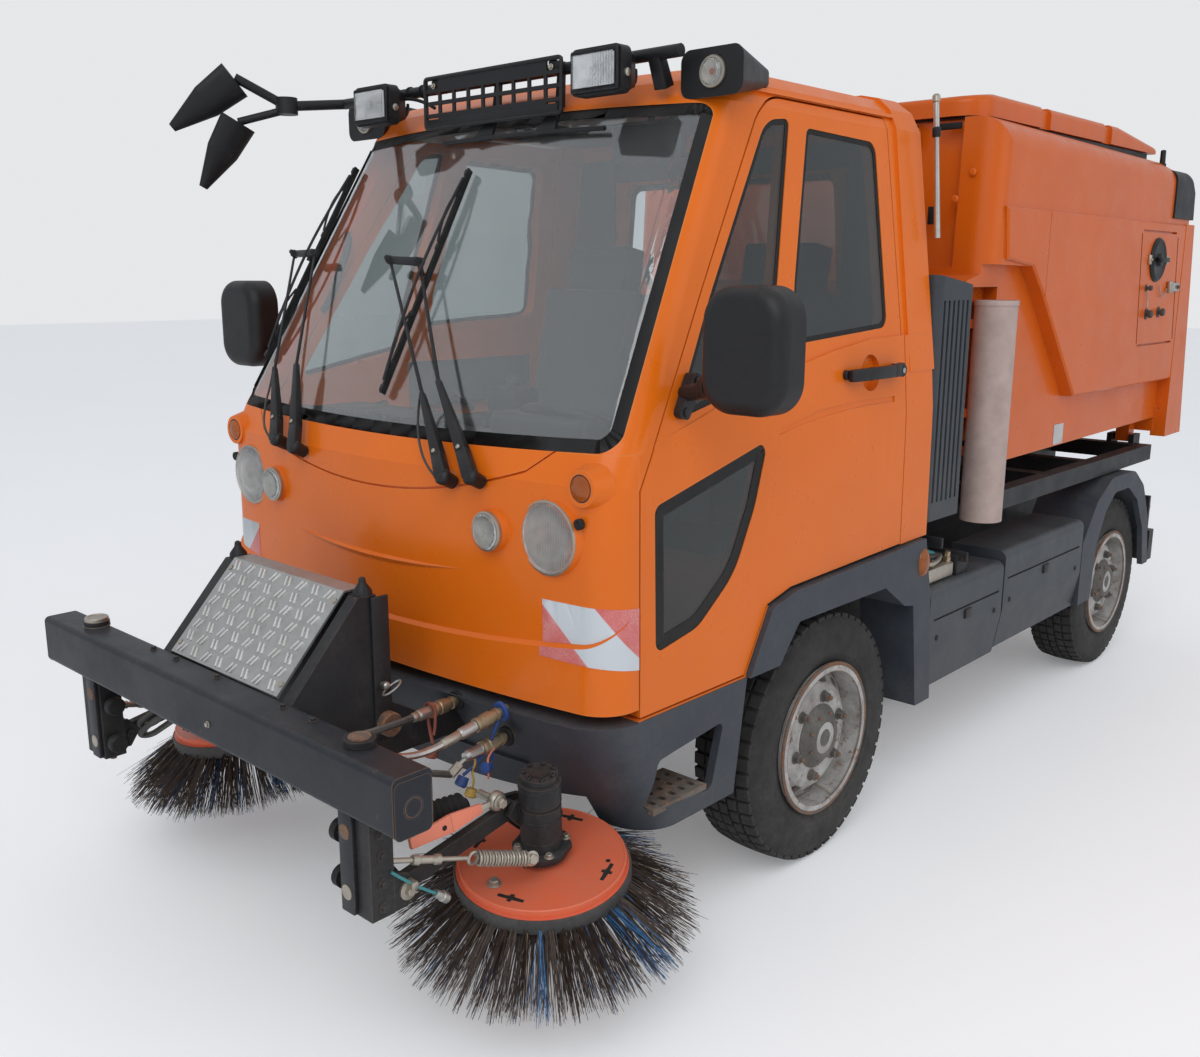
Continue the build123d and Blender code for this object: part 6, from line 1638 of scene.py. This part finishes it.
def addRoofBar():
    distance, height = roof["bar"]
    parts = [tubeForm([spot(-0.735, distance, height), spot(0.640, distance, height)], 0.016,
                      "blackPlastic", False, 16)]
    wide, tall = roof["carrier"]
    clearPick()
    bpy.ops.mesh.primitive_grid_add(x_subdivisions=9, y_subdivisions=4, size=1)
    carrier = bpy.context.object
    carrier.scale = (wide, tall, 1)
    bpy.ops.object.transform_apply(location=False, rotation=False, scale=True)
    openMesh(carrier, True)
    bpy.ops.mesh.select_all(action="DESELECT")
    pickFaces(carrier, lambda c, n: abs(c.y) < tall * 0.36 or abs(c.x) > wide * 0.40)
    bpy.ops.mesh.inset(thickness=0.0055, use_individual=True)
    bpy.ops.mesh.delete(type="FACE")
    closeMesh()
    addModifier(carrier, "SOLIDIFY", thickness=0.008, offset=0)
    addModifier(carrier, "BEVEL", width=0.0012, segments=1, limit_method="ANGLE", angle_limit=0.6)
    applyAll(carrier)
    upright = Matrix.Rotation(math.radians(90), 4, "X")
    carrier.matrix_world = Matrix.Translation(spot(*roof["carrierPlace"])) @ upright
    applyAll(carrier)
    parts.append(paint(carrier, "blackPlastic"))
    x, distanceCarrier, z = roof["carrierPlace"]
    edge = roundedOutline(wide, tall, 0.010, 3)
    parts += [tubeForm([spot(x + u, distanceCarrier - 0.004, z + v) for u, v in edge + edge[:1]], 0.0055,
                       "blackPlastic", False, 4),
              barForm(spot(x - wide / 2 + 0.012, distanceCarrier - 0.006, z - tall / 2 + 0.014),
                      spot(x + wide / 2 - 0.012, distanceCarrier - 0.006, z - tall / 2 + 0.014), 0.020,
                      0.004, finishName="blackPlastic", upward=(0, -1, 0), bevel=0.001)]
    for x in (-0.24, 0.24):
        parts += [boxForm((0.030, 0.040, 0.034), spot(x, distance - 0.020, height), 0.003, 0, 0,
                          "blackPlastic"),
                  boltForm(spot(x, distance - 0.045, height), (0, -1, 0), 0.006, "zinc")]
    for x in (-0.56, 0.56):
        parts.append(barForm(spot(x, distance + 0.035, height - 0.075), spot(x, distance, height + 0.002),
                             0.040, 0.034, 0.036, 0.030, (0, -1, 0), 0.003))
    for start in (-0.08, 0.165):
        parts += [plateForm([(0.0, 0.0), (0.075, 0.0), (0.062, 0.085), (0.045, 0.100)],
                            onScreen(start, 2.100, 0.010), (0.9, 0.1, 0.02), (0.15, 0.42, 1), 0.010, 0.002,
                            "blackPlastic"),
                  barForm(onScreen(start + 0.055, 2.175, 0.010), spot(start + 0.07, distance,
                height - 0.004), 0.030, 0.012, 0.024, 0.012, (0, -1, 0.3), 0.002)]
    parts += [tubeForm([onScreen(x, 2.1045 + 0.006 * (1 - (x / 0.4) ** 2), 0.012) for x in (-0.21, -0.1,
            0.0, 0.1, 0.2, 0.3, 0.41)], 0.0065, "blackPlastic"),
              tubeForm([spot(-0.62, distance - 0.016, height - 0.012), spot(-0.50, distance - 0.03,
            height - 0.028), spot(-0.36, distance - 0.018, height - 0.010),
            spot(-0.30, distance + 0.01, height - 0.050)], 0.005, "sealRubber")]
    for x in (-0.40, -0.34, 0.33):
        parts.append(spunForm([(0.016, -0.003), (0.0195, -0.003), (0.0195, 0.003), (0.016, 0.003)],
                              spot(x, distance, height), (1, 0, 0), 20, "sealRubber"))
    bar = settle(joinPieces(parts), "roofBarAndCarrier", "chassis", 35)
    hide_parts("roof_bar")


def addRoofLamps():
    parts, glass = [], []
    for sign in (1, -1):
        x, front, z = sign * roof["lampX"], roof["lampFront"], roof["lampHeight"]
        parts += [standingBox((0.158, 0.100, 0.012), spot(x, front - 0.003, z), 0.004, 0.012, 0.008,
                              "blackPlastic"),
                  standingBox((0.132, 0.074, 0.004), spot(x, front - 0.0045, z), 0.001, 0.022, 0.003,
                              "reflector"),
                  turnedForm([(0.0, 0.012), (0.004, 0.011), (0.006, 0.006), (0.0062, 0.001)],
                             spot(x, front - 0.0055, z), (0, -1, 0), 16, "lampGlass")]
        glass.append(standingBox((0.136, 0.078, 0.003), spot(x, front - 0.0125, z), 0.001, 0, 0,
                                 "flutedGlass"))
        for side in (-1, 1):
            parts.append(turnedForm([(0.0, 0.010), (0.006, 0.010), (0.008, 0.007)],
                                    spot(x + side * 0.0845, front + 0.020, z - 0.01), (side, 0, 0), 16,
                                    "zinc"))
        parts.append(tubeForm([spot(x + 0.05, front + 0.046, z - 0.02), spot(x + 0.07, front + 0.08,
                z - 0.05), spot(x + 0.04, front + 0.105, z + 0.01)], 0.005, "sealRubber"))
        x, distance, z = roof["pod"]
        pod = spot(sign * x, distance, z)
        radius = roof["podLamp"]
        parts += [turnedForm([(-0.012, radius + 0.001), (0.002, radius + 0.003), (0.006, radius + 0.001),
                              (0.006, radius - 0.004), (0.0, radius - 0.005)], pod, (0, -1, 0), 32, "zinc"),
                  turnedForm([(-0.008, radius - 0.004), (-0.006, radius - 0.005), (-0.010, radius * 0.5),
                              (-0.011, 0.001)], pod, (0, -1, 0), 28, "reflector"),
                  turnedForm([(-0.010, 0.010), (-0.002, 0.010), (0.001, 0.006), (0.0012, 0.001)], pod,
                             (0, -1, 0), 16, "amberGlass")]
        glass.append(turnedForm([(0.0, 0.001), (0.001, radius - 0.006), (0.003, radius - 0.004),
                                 (0.010, radius * 0.8), (0.015, radius * 0.4), (0.0155, 0.001)], pod,
                                (0, -1, 0), 28, "lampGlass"))
    settle(joinPieces(parts), "roofLampDetails", "chassis", 35)
    settle(joinPieces(glass), "roofLampGlass", "chassis", 50)
    mast = [turnedForm([(0.0, 0.010), (0.30, 0.0075), (0.310, 0.009), (0.400, 0.009), (0.404, 0.006)],
                       spot(0.790, 0.560, 1.850), (-0.075, 0, 1), 16, "steel"),
            turnedForm([(0.0, 0.0105), (0.004, 0.0130), (0.026, 0.0130), (0.030, 0.010)],
                       spot(0.7676, 0.560, 2.148), (-0.075, 0, 1), 20, "blackPlastic"),
            turnedForm([(0.0, 0.009), (0.003, 0.0120), (0.018, 0.0120), (0.024, 0.007), (0.025, 0.001)],
                       spot(0.760, 0.560, 2.250), (-0.075, 0, 1), 20, "zinc")]
    settle(joinPieces(mast), "antenna", "chassis", 35)


# hopper: hatches, latches, knobs, seals and plugs
hopper = {"side": 0.8045, "hatch": (2.592, 1.807), "hatchRadius": 0.094}


def addHopperDetails():
    parts = []
    for sign in (1, -1):
        side = hopper["side"]
        away = (sign, 0, 0)
        distance, z = hopper["hatch"]
        radius = hopper["hatchRadius"]
        parts += [turnedForm([(-0.004, radius), (0.004, radius), (0.010, radius - 0.005),
                              (0.014, radius * 0.86), (0.012, radius * 0.80), (0.012, radius * 0.3),
                              (0.020, radius * 0.27), (0.022, radius * 0.22), (0.022, 0.002)],
                             spot(sign * side, distance, z), away, 40, "blackPlastic"),
                  boxForm((0.020, 0.110, 0.020), spot(sign * (side + 0.028), distance, z), 0.005, 0, 0,
                          "blackPlastic")]
        for shift in (-0.112, 0.112):
            parts += [boxForm((0.014, 0.018, 0.040), spot(sign * (side + 0.006), distance + shift, z),
                              0.003, 0, 0, "zinc"),
                      boltForm(spot(sign * (side + 0.012), distance + shift, z), away, 0.006, "zinc")]
        parts += [boxForm((0.008, 0.150, 0.038), spot(sign * (side + 0.006), 2.835, 1.690), 0.002, 0, 0,
                          "steel"),
                  boltForm(spot(sign * (side + 0.010), 2.885, 1.690), away, 0.007, "rustySteel"),
                  boxForm((0.018, 0.034, 0.050), spot(sign * (side + 0.010), 2.775, 1.690), 0.004, 0, 0,
                          "zinc")]
        for knobD, knobZ, size in ((2.487, 1.688, 0.011), (2.521, 1.577, 0.017), (2.679, 1.582, 0.017)):
            parts.append(turnedForm([(-0.002, size * 1.4), (0.002, size * 1.4), (0.003, size * 0.6),
                                     (0.012, size * 0.6), (0.013, size), (0.024, size),
                                     (0.027, size * 0.7)], spot(sign * side, knobD, knobZ), away, 20,
                                    "hubIron"))
        parts += [tubeForm([spot(sign * (side + 0.006), 2.487, 1.680), spot(sign * (side + 0.006), 2.505,
                1.640), spot(sign * (side + 0.008), 2.498, 1.600), spot(sign * (side + 0.010), 2.521,
                1.590)], 0.0022, "zinc"),
                  tubeForm([spot(sign * (side + 0.006), 2.640, 1.700), spot(sign * (side + 0.008), 2.665,
                1.650), spot(sign * (side + 0.006), 2.720, 1.650), spot(sign * (side + 0.006), 2.745,
                1.684)], 0.0022, "zinc")]
        for start, end in (((2.375, 1.915), (2.433, 1.452)), ((2.850, 1.908), (2.915, 1.455))):
            parts.append(barForm(spot(sign * (side - 0.0004), *start), spot(sign * (side - 0.0004), *end),
                                 0.0026, 0.0022, finishName="sealRubber", upward=(sign, 0, 0), bevel=0.0))
        parts.append(plateForm(roundedOutline(0.095, 0.080, 0.004, 2), spot(sign * 0.7505, 1.780, 1.120),
                               (0, sign, 0), (0, 0, 1), 0.0012, 0.0, "whitePlate"))
        for x, boltZ in ((0.698, 2.077), (0.640, 1.992)):
            parts.append(turnedForm([(0.0, 0.013), (0.003, 0.013), (0.007, 0.008)],
                                    spot(sign * x, 0.970, boltZ), (0, -1, 0.05), 16, "hopperShadedPaint"))
        parts += [boxForm((0.020, 0.016, 0.060), spot(sign * 0.560, 0.962, 1.940), 0.003, 0, 0,
                          "sealRubber"),
                  turnedForm([(0.0, 0.016), (0.02, 0.016), (0.022, 0.012), (0.075, 0.011), (0.078, 0.006)],
                             spot(sign * 0.745, 2.720, 2.200), (0, 0, 1), 16, "blackPlastic")]
    for x in (-0.56, -0.32, -0.08, 0.16, 0.40, 0.60):
        parts.append(boxForm((0.16 if abs(x) < 0.5 else 0.08, 0.010, 0.022), spot(x, 0.986, 2.232), 0.003,
                             0, 0, "sealRubber"))
    for x in (-0.44, 0.0, 0.44):
        parts += [turnedForm([(-0.01, 0.045), (0.006, 0.045), (0.009, 0.040), (0.009, 0.002)],
                             spot(x, 0.985, 2.214), (0, -1, 0.05), 28, "hopperShadedPaint"),
                  boltForm(spot(x, 0.976, 2.236), (0, -1, 0.05), 0.006, "zinc")]
    settle(joinPieces(parts), "hopperFittings", "hopper", 35)

    rim = [spunForm([(0.0655, -0.004), (0.0655, 0.005), (0.0745, 0.005), (0.0750, 0.003), (0.0750, -0.012),
                     (0.0725, -0.012)], spot(0.785, 1.035, 1.6505), (0, 0, 1), 40, "pipePlastic")]
    settle(joinPieces(rim), "pipeRim", "hopper", 35)


# rear: lamps, blank plate, hinges and ribs of the hopper's door, which leans forwards as it rises
rear = {"lamp": (0.700, 3.054, 0.636), "board": (0.710, 3.068, 0.452), "plateHeight": 0.476, "lean": 0.1227}


def addRearDetails():
    parts, glass = [], []
    for sign in (1, -1):
        x, distance, z = rear["lamp"]
        lamp = spot(sign * x, distance, z)
        parts.append(turnedForm([(-0.01, 0.0465), (0.004, 0.0465), (0.006, 0.043), (0.002, 0.040)], lamp,
                                (0, 1, 0), 32, "blackPlastic"))
        glass.append(turnedForm([(0.0, 0.0405), (0.006, 0.039), (0.012, 0.030), (0.015, 0.014),
                                 (0.0155, 0.001)], lamp, (0, 1, 0), 32, "amberGlass"))
        x, distance, z = rear["board"]
        parts.append(standingBox((0.110, 0.130, 0.010), spot(sign * x, distance, z), 0.003, 0.006, 0.002,
                                 "blackPlastic", -90))
        for row, kind in ((0.040, "amberGlass"), (0.0, "redGlass"), (-0.040, "redGlass")):
            glass.append(boxForm((0.094, 0.010, 0.034), spot(sign * x, distance + 0.007, z + row), 0.003, 0,
                                 0, kind))
    plate = boxForm((0.52, 0.004, 0.112), spot(0, 3.0535, rear["plateHeight"]), 0.001, 0, 0, "whitePlate")
    parts += [plate,
              boxForm((0.54, 0.006, 0.126), spot(0, 3.0500, rear["plateHeight"]), 0.002, 0, 0,
                      "blackPlastic")]
    settle(joinPieces(parts), "rearLampBoards", "chassis", 35)
    settle(joinPieces(glass), "rearLampGlass", "chassis", 40)
    parts = []
    for sign in (1, -1):
        for z in (1.16, 1.72):
            distance = 3.070 + rear["lean"] * (2.0 - z)
            parts += [barForm(spot(sign * 0.66, distance - 0.004, z - 0.05),
                              spot(sign * 0.66, distance - 0.016, z + 0.05), 0.045, 0.012,
                              finishName="zinc", upward=(0, 1, 0.1)),
                      boltForm(spot(sign * 0.66, distance + 0.002, z), (0, 1, 0.12), 0.008, "zinc")]
    for z in (1.22, 1.42, 1.62, 1.82):
        distance = 3.0675 + rear["lean"] * (2.0 - z)
        parts.append(barForm(spot(-0.60, distance, z), spot(0.60, distance, z), 0.034, 0.016,
                             finishName="hopperShadedPaint", upward=(0, 1, 0.12), bevel=0.004))
    settle(joinPieces(parts), "doorRibs", "hopper_door", 35)


# marker lamps, hoses on clips behind the cab, latches of the side boxes
def addMidDetails():
    parts = []
    for sign in (1, -1):
        lamp = turnedForm([(-0.012, 0.034), (0.0, 0.034), (0.004, 0.0325), (0.012, 0.031), (0.020, 0.024),
                           (0.024, 0.012), (0.0245, 0.001)], (0, 0, 0), (sign, 0, 0), 28, "amberGlass")
        lamp.data.transform(Matrix.Translation(spot(sign * 0.825, 0.520, 0.833)) @ Matrix.Diagonal((1, 1.05,
                1.5, 1)))
        parts.append(lamp)
        base = turnedForm([(-0.016, 0.037), (0.002, 0.038), (0.003, 0.035)], (0, 0, 0), (sign, 0, 0), 28,
                          "blackPlastic")
        base.data.transform(Matrix.Translation(spot(sign * 0.824, 0.520, 0.833)) @ Matrix.Diagonal((1, 1.05,
                1.5, 1)))
        parts.append(base)
    kinds = ("hoseRubber", "redStrap", "hoseRubber", "tealCable", "hoseRubber", "zinc")
    for index, kind in enumerate(kinds):
        shift = 0.020 * index
        parts.append(tubeForm([spot(0.66 + shift, 0.610, 0.900 - 0.02 * index),
                               spot(0.69 + shift, 0.660, 0.900 - 0.022 * index),
                               spot(0.70 + 0.8 * shift, 0.730, 0.850 - 0.012 * index),
                               spot(0.68 + 0.7 * shift, 0.820, 0.790), spot(0.62 + 0.6 * shift, 0.930,
                0.760), spot(0.60 + 0.5 * shift, 1.020, 0.700)], 0.010 - 0.001 * (index % 3), kind))
    for distance, z in ((0.70, 0.862), (0.90, 0.778)):
        parts.append(boxForm((0.150, 0.014, 0.036), spot(0.735, distance, z), 0.004, 0, 0, "frameBlack"))
    parts += [boxForm((0.11, 0.20, 0.05), spot(0.725, 0.760, 0.742), 0.008, 0, 0, "zinc"),
              boxForm((0.09, 0.09, 0.08), spot(0.735, 0.930, 0.742), 0.008, 0, 0, "frameBlack")]
    for x, d in ((0.70, 0.70), (0.75, 0.745), (0.71, 0.80), (0.76, 0.84)):
        parts.append(turnedForm([(0.0, 0.014), (0.020, 0.014), (0.022, 0.010), (0.040, 0.010)],
                                spot(x, d, 0.764), (0.1, 0, 1), 6, "brass"))
    settle(joinPieces(parts), "cabRearHoses", "chassis", 40)
    parts = []
    for sign in (1, -1):
        for start, end, low, high in ((0.632, 1.205, 0.355, 0.710), (1.217, 1.984, 0.370, 0.745)):
            middle = (start + end) / 2
            parts.append(boxForm((0.008, 0.050, 0.034), spot(sign * 0.818, middle, high - 0.135), 0.003,
                                 0.006, 0.002, "blackPlastic"))
            for distance in (start + 0.06, end - 0.06):
                parts.append(turnedForm([(0.0, 0.010), (0.003, 0.010), (0.005, 0.006)],
                                        spot(sign * 0.8145, distance, low + 0.180), (sign, 0, 0), 14,
                                        "blackPlastic"))
    settle(joinPieces(parts), "boxLatches", "chassis", 35)


# thin cable at each brush with its clip and end fitting
def addCable():
    parts = [tubeForm([spot(0.676, -1.500, 0.500), spot(0.690, -1.450, 0.452), spot(0.698, -1.400, 0.418)],
                      0.0035, "tealCable"),
             turnedForm([(0.0, 0.008), (0.014, 0.010), (0.022, 0.010), (0.024, 0.012), (0.040, 0.012),
                         (0.044, 0.007)], spot(0.698, -1.402, 0.420), (0.02, 0.6, -0.5), 16, "steel"),
             boxForm((0.030, 0.018, 0.018), spot(0.680, -1.452, 0.455), 0.003, 0, 0, "zinc")]
    settleBoth(parts, "brushCable", "brush_bracket", 35)


# small round cap under each upper lamp, plugs and screws of the front panel
def addPanelDetails():
    parts = []
    for sign in (1, -1):
        parts.append(turnedForm([(-0.01, 0.013), (0.001, 0.013), (0.003, 0.010), (0.001, 0.007),
                                 (0.001, 0.001)], spot(sign * 0.738, -0.992, 1.182), (0, -1, 0), 20,
                                "sealRubber"))
    for x in (-0.30, 0.30):
        parts.append(boltForm(spot(x, -0.985, 0.700), (0, -1, -0.2), 0.006, "frameBlack"))
    settle(joinPieces(parts), "panelPlugs", "chassis", 35)


print("stage: finishes")
dressNodes()
print("stage: window borders")
addFrits()

print("stage: lamps and wipers")
addFrontLamps()
addWipers()
print("stage: side brushes")
addBristles()
addBrushDetails()
addGear()

print("stage: wheels")
addWheels()
print("stage: front tools")
addTread()
addBeamDetails()
addHangers()
addCouplers()
addRingBands()
addCable()
print("stage: cab")
addDoorDetails()
addSeats()
addInside()
addPanelDetails()
print("stage: roof")
addRoofBar()
addRoofLamps()
print("stage: hopper and rear")
addHopperDetails()
addRearDetails()
addMidDetails()
print("stage: stripes")
addStripes()

print("stage: camera and floor")
addCamera()
addStage()

bpy.context.scene.view_settings.view_transform = "Standard"
